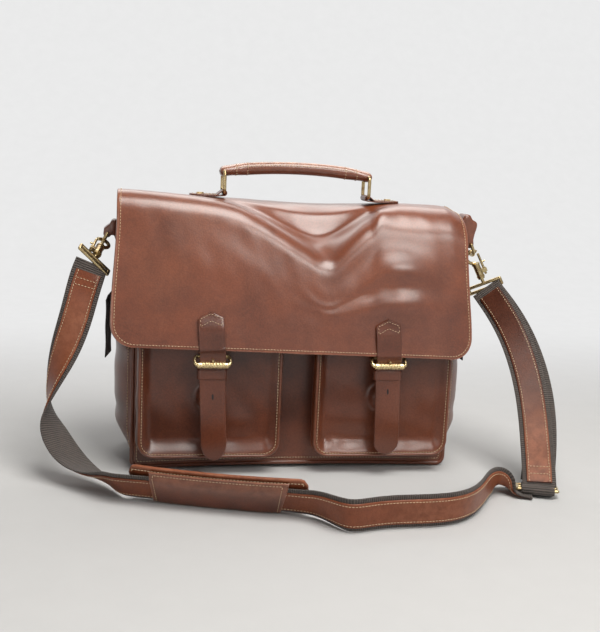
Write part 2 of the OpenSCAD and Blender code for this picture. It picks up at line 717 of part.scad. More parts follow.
// side fittings
module chape(side) {
  mid = (chape_in + chape_out + chape_t) / 2;
  r = mid - chape_in;
  color(LEATHER) mirror([side > 0 ? 0 : 1, 0, 0]) upright(-chape_w / 2, chape_w) difference() {
    union() {
      translate([chape_in, chape_low]) square([chape_t, chape_top - chape_low]);
      translate([chape_out, d_bar_z]) square([chape_t, chape_top - d_bar_z]);
      intersection() {
        translate([mid, chape_top]) difference() { circle(r); circle(r - chape_t); }
        translate([chape_in, chape_top]) square(2 * r);
      }
      translate([bar_x, d_bar_z]) circle(chape_loop_r);
    }
    translate([bar_x, d_bar_z]) circle(ring_r + pin_gap);
  }
}
module left_chape() { chape(-1); }
module right_chape() { chape(1); }
// places its children at a D-ring's bar, with -Z along the hanging bow
module at_d_bar(side) {
  pose = side > 0 ? right_pose : left_pose;
  translate([side * bar_x, 0, d_bar_z]) rotate([0, -side * pose[0], 0]) children();
}
module d_ring(side) {
  color(BRASS) at_d_bar(side) {
    bar_y_axis(ring_d, 2 * bow_r);
    rotate([0, 90, 0]) rotate([0, 0, -90])
      rotate_extrude(angle = 180) translate([bow_r, 0]) circle(d = ring_d);
    for (s = [-1, 1]) translate([0, s * bow_r, 0]) sphere(d = ring_d);
  }
}
module left_d_ring() { d_ring(-1); }
module right_d_ring() { d_ring(1); }
// places its children on the clasp's axis: the origin in the D-ring's bow, -Z towards the strap
module at_clasp(side) {
  pose = side > 0 ? right_pose : left_pose;
  at_d_bar(side) rotate([pose[1], 0, 0]) translate([0, 0, -bow_r]) rotate([pose[2] - pose[1], 0, 0])
    children();
}
module clasp(side) {
  color(BRASS) at_clasp(side) mirror([side > 0 ? 0 : 1, 0, 0]) difference() {
    union() {
      translate([0, 0, -hook_drop]) rotate([90, 0, 0]) rotate([0, 0, 34])
        rotate_extrude(angle = 236) translate([hook_r, 0]) circle(d = hook_d);
      translate([0, 0, -barrel_z - barrel_l]) cylinder(d = barrel_d, h = barrel_l);
      translate([0, 0, -barrel_z - collar_h]) cylinder(d = collar_d, h = collar_h);
      translate([0, 0, -barrel_z - barrel_l + collar_h]) cylinder(d = collar_d, h = collar_h);
      translate([0, -bolt_d / 2 - 1, -lug_z - lug_h]) cube([bolt_x + bolt_d / 2 + 1, bolt_d + 2, lug_h]);
    }
    translate([bolt_x, 0, -lug_z - lug_h - 1]) cylinder(d = bolt_d + 2 * pin_gap, h = lug_h + 2);
    translate([0, 0, -barrel_z - barrel_l - 1]) cylinder(d = stem_d + 2 * pin_gap, h = stem_in + 2);
    translate([0, 0, -barrel_z - barrel_l + stem_in]) cylinder(d = stem_head_d + clear, h = stem_head_h);
  }
}
module left_clasp() { clasp(-1); }
module right_clasp() { clasp(1); }
module trigger(side) {
  top = 1.4 - hook_drop;
  low = lug_z + lug_h + 3;
  color(BRASS) at_clasp(side) mirror([side > 0 ? 0 : 1, 0, 0]) translate([bolt_x, 0, 0]) {
    translate([0, 0, -low]) cylinder(d = bolt_d, h = low + top);
    translate([0, 0, -lug_z + bolt_travel + knob_d / 2 + clear]) rotate([0, 90, 0])
      cylinder(d = knob_d, h = knob_l);
  }
}
module left_trigger() { trigger(-1); }
module right_trigger() { trigger(1); }
module swivel_eye(side) {
  turn = side > 0 ? -25 : 20;
  color(BRASS) at_clasp(side) {
    translate([0, 0, -barrel_z - barrel_l + stem_in + clear])
      cylinder(d = stem_head_d, h = stem_head_h - 2 * clear);
    translate([0, 0, -eye_z + eye_h]) cylinder(d = stem_d, h = eye_stem + stem_in + 1);
    translate([0, 0, -eye_z]) rotate([0, 0, turn]) {
      for (z = [0, eye_h]) translate([0, 0, z]) bar_x_axis(eye_d, eye_w);
      for (s = [-1, 1]) translate([s * eye_w / 2, 0, 0]) {
        cylinder(d = eye_d, h = eye_h);
        for (z = [0, eye_h]) translate([0, 0, z]) sphere(d = eye_d);
      }
    }
  }
}
module left_swivel_eye() { swivel_eye(-1); }
module right_swivel_eye() { swivel_eye(1); }

// shoulder strap
module shoulder_strap() { color(WEBBING) flat_strap(strap_route, web_w, web_t); }
module strap_return() {
  color(WEBBING) {
    flat_strap(front_route, web_w, web_t);
    flat_strap(back_route, web_w, return_t);
  }
}
// a frame whose X runs along the first direction and whose Z along the second
module along(at, dir, wide) {
  y = cross(wide, dir);
  multmatrix([
    [dir[0], y[0], wide[0], at[0]],
    [dir[1], y[1], wide[1], at[1]],
    [dir[2], y[2], wide[2], at[2]],
    [0, 0, 0, 1]
  ]) children();
}
module strap_slider() {
  color(BRASS) along(slider_at, unit(slider_dir), [0, 0, 1]) {
    for (k = [-1:1]) translate([0, k * slider_step, 0]) bar_x_axis(slider_d, slider_w);
    for (s = [-1, 1]) translate([s * slider_w / 2, 0, 0]) bar_y_axis(slider_d, 2 * slider_step);
  }
}
// a plate on the straight stretch of the strap, its lower edge level with the strap's
module pad_plate(l, w, t, y) {
  dir = unit(pad_dir);
  along(pad_mid, dir, unit(pad_wide - dir * (pad_wide * dir))) translate([-l / 2, y, -web_w / 2])
    cube([l, t, w]);
}
module pad_backing() { color(LEATHER) pad_plate(pad_l, pad_w, pad_t, web_t / 2 + touch); }
module pad_sleeve() { color(DARK) pad_plate(sleeve_l, sleeve_w, leather_t, -web_t / 2 - touch - leather_t); }

back_panel();
front_panel();
left_gusset();
right_gusset();
bottom_panel();
base_board();
lining();
front_piping();
back_piping();
flap_welt();
left_pocket_front();
right_pocket_front();
left_pocket_gusset();
right_pocket_gusset();
left_pocket_piping();
right_pocket_piping();
left_snap_socket();
right_snap_socket();
flap_top();
flap_front();
left_wing();
right_wing();
left_upper_strap();
right_upper_strap();
left_lower_strap();
right_lower_strap();
left_buckle_frame();
right_buckle_frame();
left_roller();
right_roller();
left_prong();
right_prong();
left_keeper();
right_keeper();
left_under_tab();
right_under_tab();
left_snap_stud();
right_snap_stud();
left_anchor();
right_anchor();
handle_rivets();
left_handle_ring();
right_handle_ring();
handle_grip();
left_chape();
right_chape();
left_d_ring();
right_d_ring();
left_clasp();
right_clasp();
left_trigger();
right_trigger();
left_swivel_eye();
right_swivel_eye();
shoulder_strap();
strap_return();
strap_slider();
pad_backing();
pad_sleeve();
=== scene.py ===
"""Dresses a buckled satchel: hide, stitching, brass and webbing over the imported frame."""

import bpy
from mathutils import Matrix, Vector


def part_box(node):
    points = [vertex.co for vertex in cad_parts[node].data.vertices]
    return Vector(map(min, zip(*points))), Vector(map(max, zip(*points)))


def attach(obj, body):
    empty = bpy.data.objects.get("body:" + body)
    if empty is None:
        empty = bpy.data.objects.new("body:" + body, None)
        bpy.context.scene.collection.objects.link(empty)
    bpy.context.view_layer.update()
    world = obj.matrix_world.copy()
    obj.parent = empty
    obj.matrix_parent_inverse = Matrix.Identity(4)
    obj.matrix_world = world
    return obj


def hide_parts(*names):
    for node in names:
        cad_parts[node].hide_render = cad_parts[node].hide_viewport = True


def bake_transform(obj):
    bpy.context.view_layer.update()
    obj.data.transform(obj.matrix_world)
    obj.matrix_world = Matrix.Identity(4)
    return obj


bl_info = {
    "name": "Satchel dressing",
    "version": (1, 0, 0),
    "blender": (4, 5, 0),
    "location": "View3D > Sidebar > Satchel",
    "description": "Builds the leather, stitching, brass and webbing of a buckled satchel",
    "category": "Add Mesh",
}

import math

import bmesh
import bpy
import numpy as np
from mathutils import Matrix, Vector

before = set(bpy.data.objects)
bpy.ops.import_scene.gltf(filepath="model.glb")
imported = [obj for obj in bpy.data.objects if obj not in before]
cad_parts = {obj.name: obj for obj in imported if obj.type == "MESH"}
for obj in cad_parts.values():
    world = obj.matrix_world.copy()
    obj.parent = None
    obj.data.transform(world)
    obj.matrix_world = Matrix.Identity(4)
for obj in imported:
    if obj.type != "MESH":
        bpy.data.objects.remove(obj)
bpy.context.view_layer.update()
SIDES = (("left", -1), ("right", 1))


def low(node):
    """Lowest corner of a node in millimetres."""
    return np.array(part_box(node)[0]) * 1000


def high(node):
    """Highest corner of a node in millimetres."""
    return np.array(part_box(node)[1]) * 1000


def middle(node):
    """Centre of a node's box in millimetres."""
    return (low(node) + high(node)) / 2


# The shoulder strap's route in millimetres, as the solids run it: a point, then the direction across.
STRAP_ROUTE = (
    ((-225, -53, 230), (0.71, 0.14, -0.69)),
    ((-230, -56, 217), (0.78, -0.1, -0.55)),
    ((-235, -60, 199), (0.86, -0.22, -0.45)),
    ((-240, -62, 178), (0.9, -0.2, -0.38)),
    ((-247, -61, 154), (0.93, -0.15, -0.36)),
    ((-257, -60, 127), (0.72, -0.65, -0.25)),
    ((-266, -60, 102), (0.4, -0.9, -0.1)),
    ((-270, -63, 78), (0.05, -1, 0)),
    ((-268, -70, 60), (-0.4, -0.9, -0.15)),
    ((-260, -80, 44), (-0.65, -0.7, -0.25)),
    ((-247, -92, 28), (-0.72, -0.66, -0.1)),
    ((-230, -106, 18), (-0.55, -0.82, 0.1)),
    ((-213, -126, 16), (-0.4, -0.85, 0.35)),
    ((-203, -142, 17.5), (-0.25, -0.65, 0.7)),
    ((-194, -154, 18), (-0.16, -0.52, 0.84)),
    ((-182, -157.7, 18), (-0.16, -0.52, 0.84)),
    ((-96, -184.4, 18), (-0.16, -0.52, 0.84)),
    ((-20, -208, 18), (-0.16, -0.52, 0.84)),
    ((-6, -212.4, 18), (-0.16, -0.5, 0.85)),
    ((7, -228, 18.5), (-0.18, -0.32, 0.92)),
    ((18, -246, 18.5), (-0.08, -0.22, 0.97)),
    ((28, -250, 18.5), (-0.02, -0.2, 0.98)),
    ((40, -247, 18.5), (0, -0.18, 0.98)),
    ((62, -240, 18.5), (0, -0.17, 0.98)),
    ((92, -240, 18.5), (0, -0.17, 0.98)),
    ((122, -239, 18.5), (0, -0.17, 0.98)),
    ((146, -230, 18.5), (0.1, -0.17, 0.98)),
    ((165, -212, 18.5), (0.1, -0.1, 0.98)),
    ((180, -190, 18.5), (0.05, 0, 1)),
    ((193, -170, 18.5), (0, -0.15, 0.98)),
    ((204, -158, 17.5), (-0.1, -0.45, 0.88)),
    ((214, -151, 14.5), (-0.3, -0.7, 0.6)),
    ((223, -149, 8.4), (-0.4, -0.88, 0.25)),
    ((232, -150, 3.4), (-0.5, -0.86, 0.04)),
    ((242, -153, 2.4), (-0.6, -0.8, 0)),
    ((250, -157, 2.4), (-0.7, -0.7, 0)),
)
FRONT_ROUTE = (
    ((254, -163, 13), (-0.95, 0.3, 0)),
    ((257, -152, 26), (-0.94, 0.3, 0)),
    ((260, -136, 48), (-0.93, 0.28, 0)),
    ((264, -114, 78), (-0.93, 0.28, 0)),
    ((266, -88, 112), (-0.93, 0.3, 0)),
    ((263, -54, 150), (-0.9, 0.4, -0.1)),
    ((252, -27, 181), (-0.85, 0.42, -0.3)),
    ((237, -3, 206), (-0.8, 0.42, -0.43)),
)
BACK_ROUTE = (
    ((257, -150, 13), (-0.95, 0.3, 0)),
    ((262, -140, 28), (-0.94, 0.3, 0)),
    ((270, -122, 54), (-0.93, 0.28, 0)),
    ((277, -96, 86), (-0.93, 0.28, 0)),
    ((278, -68, 118), (-0.93, 0.3, 0)),
    ((272, -38, 152), (-0.9, 0.4, -0.1)),
    ((258, -16, 180), (-0.85, 0.42, -0.3)),
    ((241.2, 2.4, 203), (-0.8, 0.42, -0.43)),
)


def colour_setting(name, description, default):
    """A colour that a user can change."""
    return bpy.props.FloatVectorProperty(
        name=name, description=description, default=default, size=3, subtype="COLOR", min=0, max=1)


def size_setting(name, description, default, least, most):
    """A size in millimetres that a user can change."""
    return bpy.props.FloatProperty(name=name, description=description, default=default, min=least, max=most)


class SatchelColours(bpy.types.PropertyGroup):
    """Colours of the finishes."""

    hide_deep: colour_setting("Hide, deep", "Oily dark patches of the flap and straps", (0.105, 0.025, 0.009))
    hide: colour_setting("Hide", "Main colour of the flap and straps", (0.172, 0.0425, 0.0145))
    # Besides wear, this colour paints the sheen on the straps and pad and the highlight on the handle's top.
    hide_worn: colour_setting("Hide, worn", "Hide that is pulled, creased or rubbed", (0.3, 0.108, 0.054))
    body: colour_setting("Body hide", "Main colour of the pockets and panels", (0.135, 0.034, 0.0135))
    thread: colour_setting("Thread", "Colour of the waxed stitching", (0.52, 0.38, 0.24))
    brass: colour_setting("Brass", "Colour of the bright metal", (0.83, 0.66, 0.36))
    webbing: colour_setting("Webbing", "Colour of the ribbed webbing", (0.075, 0.059, 0.051))
    floor: colour_setting("Floor", "Colour of the floor and backdrop", (0.5, 0.5, 0.5))


class SatchelSizes(bpy.types.PropertyGroup):
    """Sizes of the dressing, in millimetres."""

    stitch_pitch: size_setting("Stitch pitch", "Distance from one stitch to the next", 3.3, 2, 8)
    stitch_length: size_setting("Stitch length", "Visible length of one stitch", 2.5, 1.5, 7)
    thread_radius: size_setting("Thread radius", "Radius of the thread", 0.4, 0.2, 1)
    seam_inset: size_setting("Seam inset", "Distance of a seam from the edge of its leather", 3.0, 2, 8)
    sag_depth: size_setting("Flap sag", "Depth of the sag in the front fold of the flap", 59, 0, 62)
    sag_place: size_setting("Sag place", "Place of the sag across the flap", 26, -40, 40)
    bottom_arch: size_setting("Bottom arch", "Lift of the base off the ground between its ends", 3.5, 0, 6)
    rib_pitch: size_setting("Rib pitch", "Distance between the ribs of the webbing", 2.3, 1, 5)
    strip_width: size_setting("Strip width", "Width of the leather strip on the webbing", 27, 20, 34)


def sizes():
    """The size settings."""
    return bpy.context.scene.satchel_sizes


def colours():
    """The colour settings."""
    return bpy.context.scene.satchel_colours


# Numbers and curves


def unit(v):
    """The vectors at length one."""
    return v / np.maximum(np.linalg.norm(v, axis=-1, keepdims=True), 1e-12)


def ease(t):
    """A smooth step from 0 to 1."""
    t = np.clip(t, 0, 1)
    return t * t * (3 - 2 * t)


def mix(a, b, t):
    """A value between a and b."""
    return a + (b - a) * t


def wobble(a, b, seed, size):
    """A gentle unevenness from -1 to 1 over a surface, its waves about that many millimetres long."""
    source = np.random.default_rng(seed)
    waves = 6
    total = 0.0
    for _ in range(waves):
        turn, phase = source.uniform(0, 2 * math.pi, 2)
        wave = 2 * math.pi / (size * source.uniform(0.6, 1.7))
        total = total + np.sin((a * math.cos(turn) + b * math.sin(turn)) * wave + phase)
    return total / waves


def bump(x, z, at, wide, tall, lift):
    """A rounded swelling round a point."""
    return lift * np.exp(-(((x - at[0]) / wide) ** 2) - ((z - at[1]) / tall) ** 2)


def spline(rows, per):
    """A smooth line through the rows, with that many points to each gap."""
    rows = np.asarray(rows, float)
    held = np.vstack([rows[:1], rows, rows[-1:]])
    out = []
    for i in range(len(rows) - 1):
        p, q, r, s = held[i:i + 4]
        for t in np.arange(per) / per:
            curve = (2 * p - 5 * q + 4 * r - s) * t * t + (3 * q - p - 3 * r + s) * t ** 3
            out.append(0.5 * (2 * q + (r - p) * t + curve))
    out.append(rows[-1])
    return np.array(out)


def run(points):
    """Distance along a line at each of its points."""
    return np.concatenate([[0], np.cumsum(np.linalg.norm(np.diff(points, axis=0), axis=1))])


def bell(span, reach):
    """Weights of a smooth average over that many points each way."""
    weights = np.exp(-((np.arange(-span, span + 1) / reach) ** 2))
    return weights / weights.sum()


def relax(line, reach=5.0):
    """The line with its bends eased and its ends held."""
    span = int(reach * 3)
    held = np.pad(line, ((span, span), (0, 0)), "reflect", reflect_type="odd")
    kernel = bell(span, reach)
    return np.stack([np.convolve(held[:, k], kernel, "valid") for k in range(line.shape[1])], 1)


def along_line(at, far, rows):
    """The rows of a line between its points, at those distances."""
    return np.stack([np.interp(at, far, rows[:, k]) for k in range(rows.shape[1])], -1)


def resample(points, step):
    """The same line with even steps."""
    points = np.asarray(points, float)
    far = run(points)
    at = np.linspace(0, far[-1], max(2, int(round(far[-1] / step)) + 1))
    return along_line(at, far, points)


def arc(centre, radius, start, end, count):
    """Points on part of a circle in a plane, its angles in degrees."""
    turn = np.radians(np.linspace(start, end, count))
    return np.stack([centre[0] + radius * np.cos(turn), centre[1] + radius * np.sin(turn)], 1)


def rounded(half_wide, half_tall, radius, count):
    """A rectangle with rounded corners about the middle, with that many points to a corner."""
    x = half_wide - radius
    y = half_tall - radius
    corners = ((x, y, 0), (-x, y, 90), (-x, -y, 180), (x, -y, 270))
    return np.vstack([arc((a, b), radius, turn, turn + 90, count) for a, b, turn in corners])


def closed_steps(outline, step):
    """A closed outline with even steps."""
    return resample(np.vstack([outline, outline[:1]]), step)[:-1]


def scoop(x, half_wide, deep):
    """How far a round scoop dips below its rim at x."""
    radius = (half_wide ** 2 + deep ** 2) / (2 * deep)
    return np.clip(np.sqrt(np.clip(radius ** 2 - x * x, 0, None)) - (radius - deep), 0, None)


def corner_rise(x, half_wide, radius):
    """How far the round corners of a panel rise from its lower edge at x."""
    reach = np.clip(np.abs(x) - half_wide + radius, 0, radius)
    return radius - np.sqrt(radius ** 2 - reach ** 2)


def pouch_line(wide, tall, radius, inset=0.0, step=4.0):
    """Down one side, round the bottom and up the other side of a pouch, as x and z."""
    half = wide / 2 - inset
    r = max(radius - inset, 0.5)
    line = np.vstack([
        [(-half, tall)],
        arc((r - half, inset + r), r, 180, 270, 9),
        arc((half - r, inset + r), r, 270, 360, 9),
        [(half, tall)],
    ])
    return resample(line, step)


# Meshes in the making, in millimetres


# Points nearer to each other than this, in metres, become one.
WELD = 2e-6
# Edges with a sharper turn than this are not shaded smooth.
SHARP_ANGLE = math.radians(65)


class Shape:
    """Gathers points, faces, UVs, material places and how close each point is to a cut edge, which some
    pieces replace with a mask of painted sheen.
    """

    def __init__(self):
        """Starts with nothing."""
        self.points = []
        self.faces = []
        self.uvs = []
        self.places = []
        self.edge_wear_and_sheen = []
        self.count = 0

    def add(self, points, faces, uvs=None, place=0, rim=0.0):
        """Adds points and the faces between them."""
        points = np.asarray(points, float).reshape(-1, 3)
        faces = np.asarray(faces)
        self.points.append(points)
        self.faces.append(faces + self.count)
        self.uvs.append(np.zeros(faces.shape + (2,)) if uvs is None else uvs)
        self.places.append(np.full(len(faces), place))
        self.edge_wear_and_sheen.append(np.broadcast_to(np.asarray(rim, float).reshape(-1), (len(points),)))
        self.count += len(points)

    def piece(self, name, materials):
        """Makes the object: welded, its normals outwards, its shading smooth but for sharp edges."""
        faces = [list(map(int, f)) for block in self.faces for f in block]
        mesh = bpy.data.meshes.new(name)
        mesh.from_pydata((np.vstack(self.points) / 1000).tolist(), [], faces)
        for material in materials:
            mesh.materials.append(material)
        mesh.polygons.foreach_set("material_index", np.concatenate(self.places).astype(np.int32))
        layer = mesh.uv_layers.new(name="UVMap")
        layer.data.foreach_set("uv", np.concatenate([u.reshape(-1) for u in self.uvs]) / 1000)
        # The rim attribute holds edge wear and, on some pieces, painted sheen.
        rim = mesh.attributes.new("rim", "FLOAT", "POINT")
        rim.data.foreach_set("value", np.concatenate(self.edge_wear_and_sheen).astype(np.float32))
        work = bmesh.new()
        work.from_mesh(mesh)
        bmesh.ops.remove_doubles(work, verts=work.verts, dist=WELD)
        bmesh.ops.recalc_face_normals(work, faces=work.faces)
        work.to_mesh(mesh)
        work.free()
        mesh.polygons.foreach_set("use_smooth", np.ones(len(mesh.polygons), bool))
        mesh.set_sharp_from_angle(angle=SHARP_ANGLE)
        piece = bpy.data.objects.new(name, mesh)
        bpy.context.scene.collection.objects.link(piece)
        return piece


def cells(rows, columns, closed=False):
    """Faces of a grid, which may close on itself across its columns."""
    k = np.arange(columns if closed else columns - 1)
    first = np.arange(rows - 1)[:, None] * columns
    a = first + k
    b = first + (k + 1) % columns
    return np.stack([a, b, b + columns, a + columns], -1).reshape(-1, 4)


def cell_uvs(u, v):
    """UVs of the same faces from distances down the rows and across the columns."""
    a, b = np.meshgrid(u[:-1], v[:-1], indexing="ij")
    c, d = np.meshgrid(u[1:], v[1:], indexing="ij")
    corners = [np.stack(pair, -1) for pair in ((a, b), (a, d), (c, d), (c, b))]
    return np.stack(corners, -2).reshape(-1, 4, 2)


def directions(path, across, closed=False):
    """Directions along, across and out of a path."""
    if closed:
        along = unit(np.roll(path, -1, 0) - np.roll(path, 1, 0))
    else:
        along = unit(np.gradient(path, axis=0))
    across = np.broadcast_to(np.asarray(across, float), path.shape)
    across = unit(across - along * np.sum(across * along, 1, keepdims=True))
    return along, across, np.cross(along, across)


def sweep(shape, path, across, section, place=0, widths=None, rim=0.0, closed=False):
    """Carries a closed section along a path. A section is offsets across and out of the path."""
    path = np.asarray(path, float)
    _, across, out = directions(path, across, closed)
    section = np.asarray(section, float)
    widths = np.ones((len(path), 2)) if widths is None else np.asarray(widths, float)
    rings = path[:, None, :] + across[:, None, :] * (section[None, :, 0] * widths[:, :1])[..., None]
    rings = rings + out[:, None, :] * (section[None, :, 1] * widths[:, 1:])[..., None]
    around = run(np.vstack([section, section[:1]]))
    n = len(section)
    if closed:
        faces = cells(len(rings) + 1, n, True) % (len(rings) * n)
        shape.add(rings, faces, cell_uvs(run(np.vstack([path, path[:1]])), around), place, rim)
        return
    shape.add(rings, cells(len(rings), n, True), cell_uvs(run(path), around), place, rim)
    for ring in (rings[0], rings[-1]):
        cap(shape, ring, place, rim)


def cap(shape, ring, place=0, rim=0.0):
    """Closes a ring of points with a fan of faces from its middle."""
    n = len(ring)
    fan = [(i, (i + 1) % n, n) for i in range(n)]
    shape.add(np.vstack([ring, ring.mean(0, keepdims=True)]), fan, None, place, rim)


def round_section(radius, sides=14):
    """A round section."""
    turn = np.linspace(0, 2 * math.pi, sides, endpoint=False)
    return np.stack([np.cos(turn), np.sin(turn)], 1) * radius


def oval_section(wide, tall, sides=18):
    """An oval section."""
    return round_section(1.0, sides) * (wide / 2, tall / 2)


def band_section(wide, thick, shift=0.0, flat=6):
    """A flat band with rounded edges."""
    r = thick / 2
    w = wide / 2 - r
    inner = np.linspace(w, -w, flat)
    top = np.stack([inner, np.full(flat, r)], 1)
    left = arc((-w, 0), r, 90, 270, 7)[1:-1]
    bottom = np.stack([inner[::-1], np.full(flat, -r)], 1)
    right = arc((w, 0), r, -90, 90, 7)[1:-1]
    return np.vstack([top, left, bottom, right]) + (0, shift)


# How the edge of a sheet swells from its face to its back: a share of its thickness, then the swelling.
EDGE_SWELL = ((0, 0), (0.12, 0.2), (0.5, 0.36), (0.88, 0.2), (1, 0))
# Stands for the distance to an edge that has no rim.
NO_RIM = 1e6


def plate(shape, face, thick, places=(0, 1, 0), outward=1, rim_width=5.0, rim_on=(1, 1, 1, 1)):
    """A sheet of leather: its outer face as a grid of points, its back behind it, a round edge between."""
    rows, columns, _ = face.shape
    down = run_grid(face, 0)
    over = run_grid(face, 1)
    normal = outward * unit(np.cross(np.gradient(face, axis=0), np.gradient(face, axis=1)))
    depth = np.broadcast_to(np.asarray(thick, float), (rows, columns))[..., None]
    back = face - normal * depth
    gaps = (down, down[-1:] - down, over, over[:, -1:] - over)
    nearest = np.minimum.reduce([np.where(on, gap, NO_RIM) for on, gap in zip(rim_on, gaps)])
    grid = cells(rows, columns)
    uvs = cell_uvs(down.max(1), over.max(0))
    shape.add(face, grid, uvs, places[0], 1 - np.clip(nearest / rim_width, 0, 1))
    shape.add(back, grid[:, ::-1], uvs[:, ::-1], places[1])
    border = [(0, c) for c in range(columns)] + [(r, columns - 1) for r in range(1, rows)]
    border += [(rows - 1, c) for c in range(columns - 2, -1, -1)] + [(r, 0) for r in range(rows - 2, 0, -1)]
    r, c = np.array(border).T
    out = unit(face[r, c] - face[np.clip(r, 1, rows - 2), np.clip(c, 1, columns - 2)])
    loops = []
    for share, swell in EDGE_SWELL:
        loops.append(mix(face[r, c], back[r, c], share) + out * depth[r, c] * swell)
    u = run(np.vstack([face[r, c], face[r[:1], c[:1]]]))
    v = np.linspace(0, 1, len(loops)) * float(np.mean(depth))
    shape.add(np.array(loops), cells(len(loops), len(r), True), cell_uvs(v, u), places[2], 1.0)


def facing(face, centre):
    """1 where a grid's own normal already points away from a centre, else -1."""
    normal = np.cross(np.gradient(face, axis=0), np.gradient(face, axis=1))
    return 1 if np.sum(normal * (face - centre)) > 0 else -1


def run_grid(face, axis):
    """Distance over a grid of points along one of its axes."""
    step = np.linalg.norm(np.diff(face, axis=axis), axis=2)
    start = np.zeros_like(np.take(step, [0], axis))
    return np.concatenate([start, np.cumsum(step, axis)], axis)


# The rings of one stitch: a share of its length, then of the thread's radius.
STITCH_RINGS = ((-0.5, 0.0), (-0.36, 0.85), (0.0, 1.0), (0.36, 0.85), (0.5, 0.0))
STITCH_SIDES = 6
# How far a stitch stands off its leather, and how far its middle bows, as a share of the thread's radius.
STITCH_LIFT = 0.1
STITCH_BOW = 0.3


def stitch(shape, path, normals, place=0, pitch=None, length=None, radius=None):
    """A row of raised stitches along a path on a surface."""
    pitch = pitch or sizes().stitch_pitch
    length = length or sizes().stitch_length
    radius = radius or sizes().thread_radius
    both = resample(np.hstack([path, normals]), pitch / 4)
    far = run(both[:, :3])
    count = max(1, int(far[-1] / pitch))
    at = (np.arange(count) + 0.5) * far[-1] / count
    spot = along_line(at, far, both[:, :3])
    ahead = along_line(np.minimum(at + 1, far[-1]), far, both[:, :3])
    behind = along_line(np.maximum(at - 1, 0), far, both[:, :3])
    along = unit(ahead - behind)
    up = unit(along_line(at, far, both[:, 3:]))
    up = unit(up - along * np.sum(up * along, 1, keepdims=True))
    side = np.cross(along, up)
    points = []
    for share, swell in STITCH_RINGS:
        bow = STITCH_LIFT + radius * STITCH_BOW * (1 - 4 * share ** 2)
        ring = spot + along * share * length + up * bow
        for a, b in round_section(radius * swell, STITCH_SIDES):
            points.append(ring + side * a + up * b)
    grid = cells(len(STITCH_RINGS), STITCH_SIDES, True)
    faces = np.arange(count)[:, None, None] * len(points) + grid[None]
    shape.add(np.stack(points, 1), faces.reshape(-1, 4), None, place)


def dress(shape, name, materials, body, slot, *nodes):
    """Makes a piece of those finishes and puts it on its body in place of its nodes."""
    piece = shape.piece(name, [finish(material) for material in materials])
    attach(piece, body)
    if nodes:
        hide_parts(*nodes)
    return piece


def bend(shape, name, materials, slot, first, second, start, end, *nodes):
    """Makes a piece of those finishes, its placing baked into its points, in place of its nodes."""
    piece = shape.piece(name, [finish(material) for material in materials])
    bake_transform(piece)
    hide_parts(*nodes)
    return piece


def finish_node(node, material):
    """Gives a node that stays as it is its finish."""
    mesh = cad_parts[node].data
    mesh.materials.clear()
    mesh.materials.append(finish(material))


# Finishes


class Wiring:
    """Adds and joins nodes in a tree."""

    def __init__(self, tree):
        """Takes the tree that it wires."""
        self.tree = tree

    def node(self, kind, **settings):
        """A node with its settings."""
        made = self.tree.nodes.new(kind)
        for key, value in settings.items():
            setattr(made, key, value)
        return made

    def feed(self, socket, value):
        """Joins a socket to another or sets its value."""
        if isinstance(value, bpy.types.NodeSocket):
            self.tree.links.new(value, socket)
        else:
            socket.default_value = value

    def math(self, operation, first, second=0.0, clamp=False):
        """The result of an operation on one or two values."""
        made = self.node("ShaderNodeMath", operation=operation, use_clamp=clamp)
        self.feed(made.inputs[0], first)
        self.feed(made.inputs[1], second)
        return made.outputs[0]

    def blend(self, share, first, second):
        """A mix of two colours."""
        made = self.node("ShaderNodeMix", data_type="RGBA")
        self.feed(made.inputs["Factor"], share)
        self.feed(made.inputs[6], first)
        self.feed(made.inputs[7], second)
        return made.outputs[2]

    def weigh(self, first, share, second, other_share):
        """The sum of shares of two values."""
        other = self.math("MULTIPLY", second, other_share)
        return self.math("ADD", self.math("MULTIPLY", first, share), other)

    def tint(self, colour, tone):
        """A colour made lighter or darker."""
        made = self.node("ShaderNodeVectorMath", operation="SCALE")
        self.feed(made.inputs[0], colour)
        self.feed(made.inputs["Scale"], tone)
        return made.outputs[0]

    def noise(self, where, scale, detail=4.0, rough=0.55, twist=0.0):
        """A cloudy value."""
        made = self.node("ShaderNodeTexNoise")
        self.feed(made.inputs["Vector"], where)
        self.feed(made.inputs["Scale"], scale)
        self.feed(made.inputs["Detail"], detail)
        self.feed(made.inputs["Roughness"], rough)
        self.feed(made.inputs["Distortion"], twist)
        return made.outputs["Fac"]

    def spread(self, value, low_end, high_end, low_out=0.0, high_out=1.0):
        """A value spread over another range."""
        made = self.node("ShaderNodeMapRange", interpolation_type="SMOOTHSTEP")
        self.feed(made.inputs["Value"], value)
        ends = {"From Min": low_end, "From Max": high_end, "To Min": low_out, "To Max": high_out}
        for key, number in ends.items():
            self.feed(made.inputs[key], number)
        return made.outputs["Result"]


# Fills a colour socket until a material gives its own colour.
PLAIN = (0.2, 0.1, 0.05, 1)


def group_of(name, inputs, fill):
    """The shader node group of that name, made on its first use. fill gives the value of each output."""
    group = bpy.data.node_groups.get(name)
    if group:
        return group
    group = bpy.data.node_groups.new(name, "ShaderNodeTree")
    for label, value in inputs.items():
        kind = "NodeSocketFloat" if isinstance(value, float) else "NodeSocketColor"
        socket = group.interface.new_socket(name=label, in_out="INPUT", socket_type=kind)
        socket.default_value = value
    w = Wiring(group)
    results = fill(w, w.node("NodeGroupInput").outputs, w.node("ShaderNodeTexCoord").outputs)
    for label in results:
        kind = "NodeSocketColor" if label == "Color" else "NodeSocketFloat"
        group.interface.new_socket(name=label, in_out="OUTPUT", socket_type=kind)
    out = w.node("NodeGroupOutput").inputs
    for label, value in results.items():
        w.feed(out[label], value)
    return group


